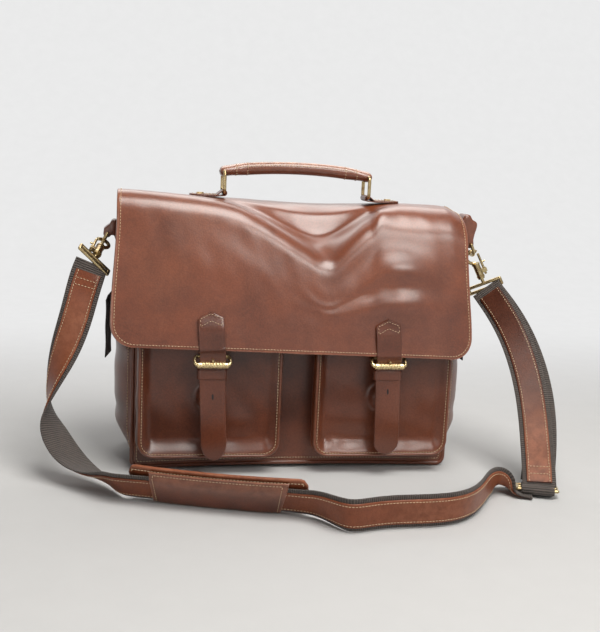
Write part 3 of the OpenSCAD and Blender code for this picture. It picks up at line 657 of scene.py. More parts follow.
def oiled_hide(w, given, places):
    """Mottled oiled hide with a fine pebbled grain."""
    where = places["Object"]
    clouds = w.noise(where, 8.0, 3.0, 0.5, 0.3)
    patches = w.noise(where, 34.0, 4.0, 0.55, 0.2)
    mottle = w.spread(w.weigh(clouds, 0.6, patches, 0.4), 0.32, 0.6)
    colour = w.blend(mottle, given["Deep"], given["Main"])
    creases = w.noise(where, 42.0, 6.0, 0.62, 0.6)
    lines = w.spread(w.math("ABSOLUTE", w.math("SUBTRACT", creases, 0.5)), 0.0, 0.03, 0.1, 0.0)
    wear_and_sheen = w.spread(w.noise(where, 6.0, 2.0, 0.5), 0.48, 0.75, 0.0, 0.4)
    worn = w.math("MULTIPLY", w.math("ADD", lines, wear_and_sheen), given["Wear"], True)
    colour = w.blend(worn, colour, given["Worn"])
    pebble = w.node("ShaderNodeTexVoronoi", feature="SMOOTH_F1")
    w.feed(pebble.inputs["Vector"], where)
    w.feed(pebble.inputs["Scale"], w.math("DIVIDE", 620.0, given["Grain size"]))
    grain = w.math("SUBTRACT", 1.0, pebble.outputs["Distance"])
    fine = w.noise(where, 1900.0, 2.0, 0.6)
    height = w.math("ADD", w.weigh(grain, 0.5, fine, 0.22), w.math("MULTIPLY", creases, 0.5))
    rough = w.math("ADD", w.spread(patches, 0.3, 0.7, 0.4, 0.52), w.math("MULTIPLY", worn, 0.1))
    speckle = w.spread(grain, 0.35, 0.75, 0.86, 1.05)
    return {"Color": w.tint(colour, speckle), "Height": height, "Roughness": rough}


def rubbed_edges_and_sheen(w, given, places):
    """Rubbed cut edges and painted sheen: the edge colour where a point lies near the edge of its leather,
    and where a piece paints sheen and highlights into its rim mask.
    """
    rim = w.node("ShaderNodeAttribute", attribute_name="rim").outputs["Fac"]
    uneven = w.spread(w.noise(places["Object"], 120.0, 4.0, 0.6), 0.3, 0.7, 0.35, 1.0)
    near = w.math("MULTIPLY", w.math("POWER", rim, 2.0), uneven)
    mask = w.math("MULTIPLY", near, given["Amount"], True)
    return {"Color": w.blend(mask, given["Color"], given["Edge"]), "Mask": mask}


def brass_patina(w, given, places):
    """Brass that is bright on its faces and browned in patches and pits."""
    cloud = w.noise(places["Object"], 140.0, 5.0, 0.65, 0.5)
    pits = w.noise(places["Object"], 900.0, 3.0, 0.6)
    browned = w.spread(w.weigh(cloud, 0.7, pits, 0.3), 0.42, 0.66)
    mask = w.math("MULTIPLY", browned, given["Amount"], True)
    colour = w.blend(mask, given["Bright"], given["Brown"])
    return {"Color": colour, "Roughness": w.spread(cloud, 0.3, 0.7, 0.2, 0.42), "Height": pits}


def ribbed_weave(w, given, places):
    """Ribbed webbing: ribs across the band, threads along it."""
    parts = w.node("ShaderNodeSeparateXYZ")
    w.feed(parts.inputs[0], places["UV"])
    waves = []
    for axis, pitch in (("X", "Rib pitch"), ("Y", "Thread pitch")):
        turn = w.math("MULTIPLY", w.math("DIVIDE", parts.outputs[axis], given[pitch]), math.pi)
        waves.append(w.math("ABSOLUTE", w.math("SINE", turn)))
    height = w.weigh(waves[0], 0.8, waves[1], 0.2)
    uneven = w.noise(places["Object"], 160.0, 4.0, 0.65)
    tone = w.math("ADD", w.spread(height, 0.15, 0.95, 0.35, 1.15), w.spread(uneven, 0.3, 0.7, -0.18, 0.18))
    rough = w.spread(uneven, 0.2, 0.8, 0.62, 0.85)
    return {"Color": w.tint(given["Color"], tone), "Height": height, "Roughness": rough}


def fine_cloth(w, given, places):
    """Plain woven cloth, thread or napped leather: fine threads with a soft unevenness."""
    weave = w.noise(places["Object"], given["Scale"], 3.0, 0.6)
    cloud = w.noise(places["Object"], 45.0, 4.0, 0.55)
    uneven = w.math("SUBTRACT", w.weigh(weave, 0.6, cloud, 0.4), 0.5)
    tone = w.math("ADD", 1.0, w.math("MULTIPLY", uneven, w.math("MULTIPLY", given["Contrast"], 3.0)))
    rough = w.spread(cloud, 0.3, 0.7, 0.7, 0.9)
    return {"Color": w.tint(given["Color"], tone), "Height": weave, "Roughness": rough}


GROUPS = {
    "Oiled hide": (oiled_hide, {"Deep": PLAIN, "Main": PLAIN, "Worn": PLAIN, "Wear": 1.0, "Grain size": 1.0}),
    "Rubbed edges and painted sheen": (rubbed_edges_and_sheen, {"Color": PLAIN, "Edge": PLAIN, "Amount": 0.6}),
    "Brass patina": (brass_patina, {"Bright": PLAIN, "Brown": PLAIN, "Amount": 0.5}),
    "Ribbed weave": (ribbed_weave, {"Color": PLAIN, "Rib pitch": 0.0023, "Thread pitch": 0.0011}),
    "Fine cloth": (fine_cloth, {"Color": PLAIN, "Scale": 900.0, "Contrast": 0.4}),
}


def place_group(w, name, **values):
    """A shader node group in a material with its own values."""
    fill, inputs = GROUPS[name]
    made = w.node("ShaderNodeGroup", node_tree=group_of(name, inputs, fill))
    for key, value in values.items():
        w.feed(made.inputs[key.replace("_", " ")], value)
    return made.outputs


def start_material(name):
    """A material, its wiring and its shader."""
    made = bpy.data.materials.new(name)
    made.use_nodes = True
    return made, Wiring(made.node_tree), made.node_tree.nodes["Principled BSDF"]


def raise_surface(w, shader, height, strength, distance):
    """Feeds a height to the shader's normal."""
    made = w.node("ShaderNodeBump")
    made.inputs["Strength"].default_value = strength
    made.inputs["Distance"].default_value = distance
    w.feed(made.inputs["Height"], height)
    w.feed(shader.inputs["Normal"], made.outputs["Normal"])


def shade(setting, share=1.0):
    """A colour setting, made lighter or darker, as a socket takes it."""
    return (*(np.array(getattr(colours(), setting)) * share), 1)


def hide_material(name, deep, main, worn, wear, edge, gloss, grain=1.0, depth=0.0003):
    """Leather in its own colours."""
    made, w, shader = start_material(name)
    hide = place_group(w, "Oiled hide", Deep=deep, Main=main, Worn=worn, Wear=wear, Grain_size=grain)
    wear_and_sheen = place_group(w, "Rubbed edges and painted sheen", Color=hide["Color"], Edge=worn, Amount=edge)
    w.feed(shader.inputs["Base Color"], wear_and_sheen["Color"])
    w.feed(shader.inputs["Roughness"], hide["Roughness"])
    shader.inputs["Coat Weight"].default_value = gloss
    shader.inputs["Coat Roughness"].default_value = 0.29
    shader.inputs["Coat IOR"].default_value = 1.62
    shader.inputs["Specular IOR Level"].default_value = 0.15
    raise_surface(w, shader, hide["Height"], 0.8, depth)
    return made


def cloth_material(name, colour, scale, contrast, depth=0.0002, sheen=0.0):
    """Cloth, thread or napped leather in its own colour."""
    made, w, shader = start_material(name)
    cloth = place_group(w, "Fine cloth", Color=colour, Scale=scale, Contrast=contrast)
    w.feed(shader.inputs["Base Color"], cloth["Color"])
    w.feed(shader.inputs["Roughness"], cloth["Roughness"])
    shader.inputs["Sheen Weight"].default_value = sheen
    raise_surface(w, shader, cloth["Height"], 0.6, depth)
    return made


def brass_material(name, bright, amount):
    """Brass with more or less brown in it."""
    made, w, shader = start_material(name)
    patina = place_group(w, "Brass patina", Bright=bright, Brown=(0.24, 0.14, 0.06, 1), Amount=amount)
    w.feed(shader.inputs["Base Color"], patina["Color"])
    w.feed(shader.inputs["Roughness"], patina["Roughness"])
    shader.inputs["Metallic"].default_value = 1.0
    raise_surface(w, shader, patina["Height"], 0.3, 0.0001)
    return made


def webbing_material(name):
    """Ribbed webbing."""
    made, w, shader = start_material(name)
    weave = place_group(w, "Ribbed weave", Color=shade("webbing"), Rib_pitch=sizes().rib_pitch / 1000)
    w.feed(shader.inputs["Base Color"], weave["Color"])
    w.feed(shader.inputs["Roughness"], weave["Roughness"])
    shader.inputs["Sheen Weight"].default_value = 0.12
    raise_surface(w, shader, weave["Height"], 0.9, 0.0009)
    return made


def hide_of(name):
    """One of the hides: its three colours, then its wear, its rubbed edges and painted sheen, and its gloss.
    """
    # Makes the handle's worn colour paler and greyer: its wear and the painted highlight along its top.
    wear_and_highlight_tint = (1.4, 2.0, 2.5)
    smooth_grain = 0.8
    smooth_depth = 0.0002
    kinds = {
        "Flap hide": (shade("hide_deep"), shade("hide"), shade("hide_worn"), 1.0, 0.85, 1.0),
        "Body hide": (shade("body", 0.5), shade("body"), shade("hide_worn", 0.8), 0.5, 0.7, 0.65),
        "Strap hide": (shade("body", 0.5225), shade("body", 0.95), shade("hide_worn", 0.68), 0.45, 0.75, 0.7),
        # A lighter copy of the body hide: painted light on the pad.
        "Pad hide": (shade("body", 0.65), shade("body", 1.15), shade("hide_worn", 0.85), 0.5, 0.9, 0.8),
        "Strip hide": (shade("hide_deep"), shade("hide", 1.05), shade("hide_worn", 1.05), 0.6, 0.85, 0.3),
        # A darker, duller copy of the strip hide: painted shade on the front length of the strap.
        "Dark strip hide": (
            shade("hide_deep", 0.5), shade("body", 0.62), shade("hide_worn", 0.95), 0.5, 0.85, 0.08),
        "Handle hide": (
            shade("hide_deep"), shade("hide", 0.95), shade("hide_worn", wear_and_highlight_tint), 0.7, 0.95, 1.0,
            smooth_grain, smooth_depth),
    }
    return hide_material(name, *kinds[name])


def cloth_of(name):
    """One of the cloths: its colour, the fineness and contrast of its threads, its relief and its sheen."""
    kinds = {
        "Waxed thread": (shade("thread"), 2600.0, 0.5, 0.0001),
        "Leather back": (shade("body", 0.8), 1400.0, 0.5, 0.0002, 0.15),
        "Burnished edge": (shade("hide_deep", 0.75), 1200.0, 0.5),
        "Black cloth": ((0.012, 0.012, 0.013, 1), 1500.0, 0.4, 0.0002, 0.1),
        "Fibre board": ((0.16, 0.15, 0.14, 1), 700.0, 0.4),
    }
    return cloth_material(name, *kinds[name])


def brass_of(name):
    """One of the brasses: its colour and how brown it is."""
    kinds = {"Worn brass": (shade("brass"), 0.45), "Browned brass": (shade("brass", 0.62), 0.85)}
    return brass_material(name, *kinds[name])


def finish(name):
    """The material of that name, made on its first use."""
    made = bpy.data.materials.get(name)
    if made:
        return made
    if name.endswith("hide"):
        return hide_of(name)
    if name.endswith("brass"):
        return brass_of(name)
    if name.endswith("webbing"):
        return webbing_material(name)
    return cloth_of(name)


def backdrop_material(name):
    """A pale floor that takes shadows near the bag and glows evenly further away."""
    made, w, shader = start_material(name)
    where = w.node("ShaderNodeTexCoord").outputs["Object"]
    cloud = w.noise(where, 30.0, 5.0, 0.6)
    w.feed(shader.inputs["Base Color"], w.blend(cloud, shade("floor", 0.97), shade("floor", 1.03)))
    shader.inputs["Roughness"].default_value = 0.85
    shader.inputs["Specular IOR Level"].default_value = 0.2
    rays = w.node("ShaderNodeLightPath").outputs
    seen = w.math("MAXIMUM", rays["Is Camera Ray"], rays["Is Glossy Ray"])
    seen = w.math("MAXIMUM", seen, rays["Is Transmission Ray"])
    parts = w.node("ShaderNodeSeparateXYZ")
    w.feed(parts.inputs[0], where)
    away = w.node("ShaderNodeVectorMath", operation="LENGTH")
    w.feed(away.inputs[0], where)
    near = w.math("SUBTRACT", 1.0, w.spread(parts.outputs["Y"], -0.05, 0.9))
    near = w.math("MULTIPLY", near, w.math("SUBTRACT", 1.0, w.spread(away.outputs["Value"], 0.4, 1.9)))
    glow = w.node("ShaderNodeEmission")
    w.feed(glow.inputs["Color"], w.blend(cloud, (0.8, 0.8, 0.8, 1), (0.85, 0.85, 0.85, 1)))
    both = w.node("ShaderNodeMixShader")
    w.feed(both.inputs[0], w.math("MULTIPLY", seen, w.math("SUBTRACT", 1.0, near)))
    w.feed(both.inputs[1], shader.outputs[0])
    w.feed(both.inputs[2], glow.outputs[0])
    w.feed(made.node_tree.nodes["Material Output"].inputs["Surface"], both.outputs[0])
    return made


# What a sewn panel has beside its hide.
SEWN = ("Leather back", "Burnished edge", "Waxed thread")
# The thread's place among a sewn panel's finishes, after its hide.
THREAD_PLACE = 3


# The flap's surface, in millimetres: x across, and the way from the welt over the crown to the hem


class Flap:
    """The flap's form: its profile from welt to hem, its sag and its swellings."""

    # Places across the flap from its deepest point, and the share of the sag there.
    RIDGE = (
        (-226, -0.12), (-186, -0.09), (-146, -0.03), (-111, 0.04), (-88, 0.16), (-72, 0.3), (-46, 0.555),
        (-21, 0.8), (-9, 0.93), (0, 0.975), (9, 0.93), (25, 0.66), (38, 0.46), (50, 0.3), (56, 0.16),
        (62, 0.06), (74, 0.01), (94, 0), (174, 0.05),
    )
    # Places over the crown, front to back, and the share of the ridge's drop there.
    TROUGH = (
        (-70, 1), (-50, 0.97), (-35, 0.9), (-26, 0.84), (-20, 0.74), (-14, 0.52), (-8, 0.33), (4, 0.2),
        (20, 0.08), (40, 0.02), (60, 0),
    )
    # Swellings of the front: where across and below the fold, how wide, how tall and how far out.
    SWELLINGS = (
        ((108, 44), 36, 20, 7.5), ((112, 81), 50, 21, 7.5), ((90, 60), 36, 11, -2.0),
        ((145, 45), 26, 34, 2.0), ((-105, 40), 80, 40, 2.5),
    )
    THICK = 3.0
    CROWN_RISE = 27.0
    CORNER = 24.0
    LEAN = math.radians(12.2)
    # Radius from the crown to the front, on the right and on the left.
    ROUNDER = 44.0
    SQUARER = 27.0
    # Where the top's even steps end and the front begins.
    SPLIT_Z = 262.0
    TOP_STEPS = 164
    FRONT_STEPS = 124
    # The rear edge: how far before it the top turns down, and the heights of its end and of its bend.
    REAR_TURN = 6.5
    REAR_GAP = 0.3
    REAR_END = 9.0
    REAR_BEND = 17.8

    def __init__(self):
        """Works the form out from the frame."""
        self.half = high("flap_front")[0]
        self.fold_y = low("flap_top")[1]
        self.crown_z = high("flap_top")[2]
        self.rear_y = high("flap_top")[1]
        self.hem_y = low("flap_front")[1]
        self.fold_z = self.crown_z - self.CROWN_RISE
        self.slope = math.tan(self.LEAN)
        self.hem_z = self.fold_z - (self.fold_y - self.hem_y) / self.slope
        self.rounder = self.profile(self.ROUNDER)
        self.squarer = self.profile(self.SQUARER)
        line = (self.rounder + self.squarer) / 2
        self.far = run(line)
        self.length = self.far[-1]
        front = line[:, 0] < 0
        self.fold_at = float(np.interp(-self.fold_z, -line[front, 1], self.far[front]))
        self.ridge = spline(self.RIDGE, 8)
        across = np.linspace(self.ridge[0, 0], self.ridge[-1, 0], 401)
        level = np.pad(np.interp(across, self.ridge[:, 0], self.ridge[:, 1]), 60, "edge")
        self.bowl = np.stack([across, np.convolve(level, bell(60, 26.0), "valid")], 1)
        trough = spline(self.TROUGH, 8)
        down = (self.fold_z - line[:, 1]) / (self.fold_z - self.hem_z)
        near = np.interp(line[:, 0], trough[:, 0], trough[:, 1])
        self.near = np.where(self.far < self.fold_at, near, 1 - ease(down / 0.85))

    def profile(self, radius):
        """From welt to hem as y and z, with that radius from the crown to the front."""
        corner = self.fold_y + self.CROWN_RISE * self.slope
        start = corner + radius * math.tan((math.pi / 2 - self.LEAN) / 2)
        turn = np.linspace(math.acos((self.rear_y - self.REAR_TURN) / -self.fold_y), math.pi / 2, 80)
        rear = np.stack([-self.fold_y * np.cos(turn), self.fold_z + self.CROWN_RISE * np.sin(turn)], 1)
        edge = np.array([self.rear_y - self.REAR_GAP, self.fold_z + self.REAR_END])
        knee = np.array([self.rear_y - self.REAR_GAP, self.fold_z + self.REAR_BEND])
        t = np.linspace(0, 1, 16)[:-1, None]
        turned = edge * (1 - t) ** 2 + knee * 2 * t * (1 - t) + rear[0] * t * t
        over = arc((start, self.crown_z - radius), radius, 90, 180 - math.degrees(self.LEAN), 60)
        split_y = np.interp(self.SPLIT_Z, (self.hem_z, self.fold_z), (self.hem_y, self.fold_y))
        split = np.array([split_y, self.SPLIT_Z])
        top = np.vstack([turned, rear, over, [split]])
        top = resample(top, run(top)[-1] / self.TOP_STEPS)
        front = np.linspace(split, (self.hem_y, self.hem_z), self.FRONT_STEPS)[1:]
        return relax(np.vstack([top, front]))

    def base(self, x, at):
        """Points before the swellings."""
        s = sizes()
        square = ease((112 - x) / 44)
        rounder = along_line(at, self.far, self.rounder)
        squarer = along_line(at, self.far, self.squarer)
        y, z = np.moveaxis(mix(rounder, squarer, square[..., None]), -1, 0)
        # The sag: sharp at the front fold, a smooth bowl behind it.
        sharp = np.interp(x - s.sag_place, self.ridge[:, 0], self.ridge[:, 1])
        smooth = np.interp(x - s.sag_place, self.bowl[:, 0], self.bowl[:, 1])
        drop = s.sag_depth * np.interp(at, self.far, self.near) * mix(smooth, sharp, ease((-24 - y) / 30))
        z = z - drop
        y = y - drop * self.slope * ease((-15 - y) / 40)
        # The right side: its edge drops over the crown and turns back down the front.
        over = ease((at - 20) / 60) * ease((self.length - 20 - at) / 90)
        z = z - 6 * ease((x - self.half + 20) / 26) * over
        turned = np.clip((x - self.half + 26) / 26, 0, None) ** 2
        y = y + 3.5 * turned * ease((at - self.fold_at - 20) / 60)
        # The hem hangs lower on the right, and both sides are drawn in.
        down = ease((at - self.fold_at) / 110)
        z = z - 0.028 * x * down
        drawn_in = mix(12.0, 6.0, down) * ease((x - 70) / 130) * mix(0.3, 1.0, ease((at - 6) / 50))
        drawn_in = drawn_in + 5.0 * ease((-x - 60) / 140) * down
        return np.stack(np.broadcast_arrays(x - drawn_in, y, z), -1)

    def swell(self, x, at):
        """How far the leather stands out of its profile."""
        lift = sum(bump(x, at - self.fold_at, *swelling) for swelling in self.SWELLINGS)
        lift = lift + 0.5 * wobble(x, at, 5, 100) + 0.22 * wobble(x, at, 8, 30)
        edge = ease((self.half - np.abs(x)) / 20) * ease((self.length - at) / 24) * ease(at / 20)
        return lift * edge

    def at(self, x, way):
        """Points of the outer face."""
        x = np.asarray(x, float)
        way = np.asarray(way, float)
        return self.base(x, way) + self.normal(x, way, self.base) * self.swell(x, way)[..., None]

    def normal(self, x, way, form=None):
        """Outward directions of the outer face."""
        form = form or self.at
        x = np.asarray(x, float)
        way = np.asarray(way, float)
        over = form(x + 1.5, way) - form(x - 1.5, way)
        down = form(x, np.minimum(way + 1.5, self.length)) - form(x, np.maximum(way - 1.5, 0))
        return unit(np.cross(over, down)) * -1.0

    def half_at(self, way):
        """Half the flap's width at a distance down it, with the lower corners rounded."""
        r = self.CORNER
        left = np.clip(self.length - way, 0, None)
        cut = np.where(left >= r, 0, r - np.sqrt(np.clip(r * r - (r - left) ** 2, 0, None)))
        return self.half - cut

    def edge_line(self, inset, start):
        """The outline as x and distance down, from one side round the hem to the other."""
        r = self.CORNER - inset
        half = self.half - inset
        end = self.length - inset
        left = [(-half, start), (-half, end - r)]
        turn = arc((r - half, end - r), r, 180, 90, 9)
        other = arc((half - r, end - r), r, 90, 0, 9)
        return resample(np.vstack([left, turn, other, [(half, start)]]), 3.0)


# Operators


class SATCHEL_OT_stage(bpy.types.Operator):
    """Builds the floor with its backdrop, the lights and the camera."""

    bl_idname = "satchel.stage"
    bl_label = "Stage"

    # The camera's turn, tilt and roll in degrees, what it aims at and how far off it stands in metres.
    CAMERA_ANGLES = (-10.3, 9.7, 2.68)
    CAMERA_AIM = (0.012, 0, 0.167)
    CAMERA_AWAY = 1.1
    CAMERA_LENS = 56.1
    # Each lamp: its place, what it aims at, its size in metres and its power.
    LAMPS = (
        ("Overhead", (0.22, -0.6, 1.5), (0, -0.05, 0.22), (0.9, 0.9), 26),
        ("Sheen", (0.62, -1.62, 1.26), (0.06, -0.06, 0.2), (0.6, 0.5), 10),
        ("Back", (0.05, 0.95, 1.35), (0, 0, 0.27), (1.4, 0.8), 10),
        ("Front left", (-1.2, -2.0, 0.75), (0, 0, 0.12), (1.1, 0.9), 6),
        ("Front right", (1.5, -1.4, 1.0), (0.05, 0, 0.15), (0.8, 0.8), 1.0),
    )
    # Radius and height of the rings of ground round the backdrop, in millimetres.
    GROUND = ((2600, -2), (8000, -2), (22000, -2), (23500, 600), (24000, 4200))

    def execute(self, context):
        """Builds the stage."""
        self.camera()
        self.floor()
        self.world()
        for lamp in self.LAMPS:
            self.lamp(*lamp)
        bpy.context.scene.view_settings.view_transform = "Standard"
        return {"FINISHED"}

    def camera(self):
        """Stands the camera before the bag."""
        turn, tilt, roll = (math.radians(a) for a in self.CAMERA_ANGLES)
        back = Vector((math.sin(turn) * math.cos(tilt), -math.cos(turn) * math.cos(tilt), math.sin(tilt)))
        right = Vector((math.cos(turn), math.sin(turn), 0))
        up = back.cross(right)
        across = right * math.cos(roll) + up * math.sin(roll)
        upright = up * math.cos(roll) - right * math.sin(roll)
        data = bpy.data.cameras.new("Camera")
        data.sensor_fit = "HORIZONTAL"
        data.sensor_width = 36
        data.lens = self.CAMERA_LENS
        data.clip_end = 50
        camera = bpy.data.objects.new("Camera", data)
        turned = Matrix((across, upright, back)).transposed().to_4x4()
        camera.matrix_world = Matrix.Translation(Vector(self.CAMERA_AIM) + back * self.CAMERA_AWAY) @ turned
        bpy.context.scene.collection.objects.link(camera)
        bpy.context.scene.camera = camera

    def floor(self):
        """Lays the floor, which turns up behind the bag, and the ground round it."""
        line = np.vstack([[(-3000, 0), (900, 0)], arc((900, 1400), 1400, 270, 350, 24), [(2300, 4200)]])
        columns = [np.insert(line, 0, x, axis=1) for x in np.linspace(-4500, 4500, 3)]
        shape = Shape()
        shape.add(np.stack(columns, 1), cells(len(line), len(columns)))
        rings = [np.insert(round_section(radius, 64), 2, z, axis=1) for radius, z in self.GROUND]
        shape.add(np.array(rings), cells(len(rings), 64, True))
        floor = shape.piece("Floor", [backdrop_material("Pale backdrop")])
        floor.data.flip_normals()

    def world(self):
        """Fills the room with a soft light."""
        world = bpy.data.worlds.new("Soft room")
        bpy.context.scene.world = world
        world.use_nodes = True
        sky = world.node_tree.nodes["Background"]
        sky.inputs["Color"].default_value = (1.0, 0.99, 0.97, 1)
        sky.inputs["Strength"].default_value = 0.18

    def lamp(self, name, place, aim, size, power):
        """Hangs a lamp panel."""
        data = bpy.data.lights.new(name, "AREA")
        data.shape = "RECTANGLE"
        data.size, data.size_y = size
        data.energy = power
        data.color = (1.0, 0.975, 0.935)
        lamp = bpy.data.objects.new(name, data)
        lamp.location = place
        lamp.rotation_euler = (Vector(aim) - Vector(place)).to_track_quat("-Z", "Y").to_euler()
        bpy.context.scene.collection.objects.link(lamp)


class SATCHEL_OT_shoulder_strap(bpy.types.Operator):
    """Builds the webbing shoulder strap, its leather strip and its doubled end."""

    bl_idname = "satchel.shoulder_strap"
    bl_label = "Shoulder strap"

    WEB_WIDE = 36
    WEB_THICK = 2.0
    STRIP_THICK = 1.8
    STRIP_TOP = 1.9
    SEAM_INSET = 2.6
    # How much painted sheen the strip takes at distances along it: paler where light falls on it.
    SHEEN_MAIN = (
        (0, 0.1), (25, 0.2), (60, 1), (95, 0.8), (130, 0.3), (560, 0.5), (620, 0.9), (780, 0.8), (830, 0.5),
    )
    SHEEN_FRONT = ((0, 1), (60, 0.9), (110, 0.35), (150, 0), (260, 0))

    def execute(self, context):
        """Builds the strap's three lengths and the loop at the slider."""
        if high("strap_slider")[0] <= 0:
            raise RuntimeError("the slider is not on the right of the bag")
        main = self.webbing("Shoulder_webbing", STRAP_ROUTE, "shoulder_strap", -0.9)
        main_strip = self.strip("Shoulder_webbing", STRAP_ROUTE, 10, 0, "Strip hide", self.SHEEN_MAIN)
        front = self.webbing("Front_webbing", FRONT_ROUTE, "strap_return", -0.9)
        front_strip = self.strip("Front_webbing", FRONT_ROUTE, 4, 9, "Dark strip hide", self.SHEEN_FRONT)
        back = self.webbing("Back_webbing", BACK_ROUTE, "strap_return", 0)
        loop = self.loop()
        return {"FINISHED"}

    def lay(self, route):
        """A route's line and the direction across it, with the bends eased."""
        path = relax(spline([r[0] for r in route], 8), 7.0)
        across = relax(spline([r[1] for r in route], 8), 11.0)
        return path, across

    def webbing(self, name, route, node, shift):
        """A length of webbing, shifted under its strip."""
        shape = Shape()
        sweep(shape, *self.lay(route), band_section(self.WEB_WIDE, self.WEB_THICK, shift, 10))
        return dress(shape, name, ["Ribbed webbing"], "bag", "webbing", node)

    def strip(self, name, route, start, short, hide, wear_and_sheen):
        """The strip of leather on the webbing, with its stretches of painted sheen and its seams."""
        path, across = self.lay(route)
        _, across, out = directions(path, across)
        far = run(path)
        keep = (far >= start) & (far <= far[-1] - short)
        line, over, up = path[keep], across[keep], out[keep]
        width = sizes().strip_width
        section = band_section(width, self.STRIP_THICK, 1.0, 8)
        shape = Shape()
        sweep(shape, line, over, section)
        # Painted sheen: the strip turns paler along the stretches of its sheen profile.
        shape.edge_wear_and_sheen[0] = np.repeat(np.interp(far[keep], *np.array(wear_and_sheen).T), len(section))
        for side in (-1, 1):
            stitch(shape, line + over * side * (width / 2 - self.SEAM_INSET) + up * self.STRIP_TOP, up, 1)
        for at in (4, 7):
            places = np.linspace(-width / 2 + 3, width / 2 - 3, 8)[:, None]
            row = line[at] + over[at] * places + up[at] * self.STRIP_TOP
            stitch(shape, row, np.broadcast_to(up[at], row.shape), 1)
        return dress(shape, name + "_strip", [hide, "Waxed thread"], "bag", "leather")

    def loop(self):
        """The end of the strap, turned up round the slider's near bar."""
        along = np.array([0.954, -0.301, 0])
        behind = np.array([0.301, 0.954, 0])
        up = np.array([0, 0, 1.0])
        line = np.vstack([[(9, -5.6), (0, -5.8)], arc((-7, 0), 4.2, 250, 60, 14), [(-2.4, 4.2), (0.5, 4.6)]])
        line = resample(line, 1.2)
        path = middle("strap_slider") + behind * line[:, :1] + up * line[:, 1:]
        shape = Shape()
        sweep(shape, path, along, band_section(self.WEB_WIDE - 1, 1.9, 0, 8))
        return dress(shape, "Slider_loop", ["Ribbed webbing"], "bag", "webbing")


class SATCHEL_OT_pad(bpy.types.Operator):
    """Builds the shoulder pad: its padded backing and the sewn sleeve on the strap."""

    bl_idname = "satchel.pad"
    bl_label = "Shoulder pad"

    MIDDLE = np.array([-96, -184.4, 18.0])
    ALONG = unit(np.array([0.955, -0.297, 0]))
    WIDE = np.array([-0.16, -0.52, 0.84])
    WIDE = unit(WIDE - ALONG * (WIDE @ ALONG))
    BEHIND = np.cross(WIDE, ALONG)
    HALF_LONG = 90.0
    HALF_WIDE = 22.0
    # The backing stands higher above the strap than below it.
    RAISED = 4.0
    SOFT_EDGE = 9.0
    # The sleeve's ends along the strap, its edges across it, and how far its right end slants.
    SLEEVE_ENDS = (-67.0, 62.0)
    SLEEVE_EDGES = (-18.0, 24.0)
    SLEEVE_SLANT = 10
    # Above this the sleeve lies on the backing instead of the strap.
    ABOVE_STRAP = 20.4
    # Corners of the two seams, along and across the strap.
    BACKING_SEAM = ((-86, 19), (-86, 23), (86, 23), (86, 19))
    SLEEVE_SEAM = ((-63.5, -16), (-63.5, 21.6), (66, 21.6), (59.5, -16))

    def execute(self, context):
        """Builds the backing and the sleeve."""
        self.backing()
        self.sleeve()
        return {"FINISHED"}

    def place(self, u, v, depth):
        """A point along, across and behind the strap's middle line, which bows a little."""
        bow = 0.00035 * u * u
        spot = self.MIDDLE + self.ALONG * u[..., None] + self.WIDE * v[..., None]
        return spot + self.BEHIND * (depth + bow)[..., None]

    def backing(self):
        """The padded backing, soft towards its edges."""
        half = self.HALF_WIDE
        long = self.HALF_LONG
        u, v = np.meshgrid(np.linspace(-long, long, 60), np.linspace(-half, half, 20), indexing="ij")
        edge = self.SOFT_EDGE
        v = v * (half - corner_rise(u, long, edge)) / half
        soft = np.clip((half - np.abs(v)) / edge, 0, 1) * np.clip((long - np.abs(u)) / edge, 0, 1)
        v = v + self.RAISED
        depth = 2.0 + 0.8 * (1 - ease(soft)) + 0.25 * wobble(u, v, 3, 40)
        shape = Shape()
        plate(shape, self.place(u, v, depth), 3.2 + 1.6 * ease(soft), (0, 1, 0), 1, 6)
        self.seam(shape, self.BACKING_SEAM, 1.9)
        finishes = ["Strip hide", "Leather back", "Waxed thread"]
        backing = dress(shape, "Pad_backing", finishes, "bag", "leather", "pad_backing")

    def sleeve(self):
        """The sleeve round the strap, sewn down above it."""
        s, t = np.meshgrid(np.linspace(0, 1, 50), np.linspace(0, 1, 20), indexing="ij")
        left, right = self.SLEEVE_ENDS
        v = mix(*self.SLEEVE_EDGES, t)
        u = mix(left, right + self.SLEEVE_SLANT * t, s)
        strap = np.clip((self.ABOVE_STRAP + 0.1 - np.abs(v)) / 5, 0, 1)
        ends = np.clip(np.minimum(u - left, right + 6 - u) / 8, 0, 1)
        depth = -2.2 - 1.9 * ease(strap) - 0.6 * ease(ends) + 0.3 * wobble(u, v, 11, 30)
        depth = np.where(v > self.ABOVE_STRAP, -1.2 - 0.2 * ease(ends), depth)
        shape = Shape()
        plate(shape, self.place(u, v, depth), 1.8, (0, 1, 0), 1, 4)
        # Painted sheen: the sleeve's upper half takes the paler worn colour.
        shape.edge_wear_and_sheen[0] = np.maximum(shape.edge_wear_and_sheen[0], 0.85 * ease((v + 6) / 20).ravel())
        self.seam(shape, self.SLEEVE_SEAM, -4.7, 21.0)
        finishes = ["Pad hide", "Leather back", "Waxed thread"]
        made = dress(shape, "Pad_sleeve", finishes, "bag", "dark_leather", "pad_sleeve")

    def seam(self, shape, row, depth, step_down=1e6):
        """A seam through places on the pad, which steps down to the backing above a height."""
        line = resample(row, 2.0)
        points = self.place(line[:, 0], line[:, 1], np.where(line[:, 1] > step_down, -1.5, depth))
        stitch(shape, points, np.broadcast_to(-self.BEHIND, points.shape), 2)


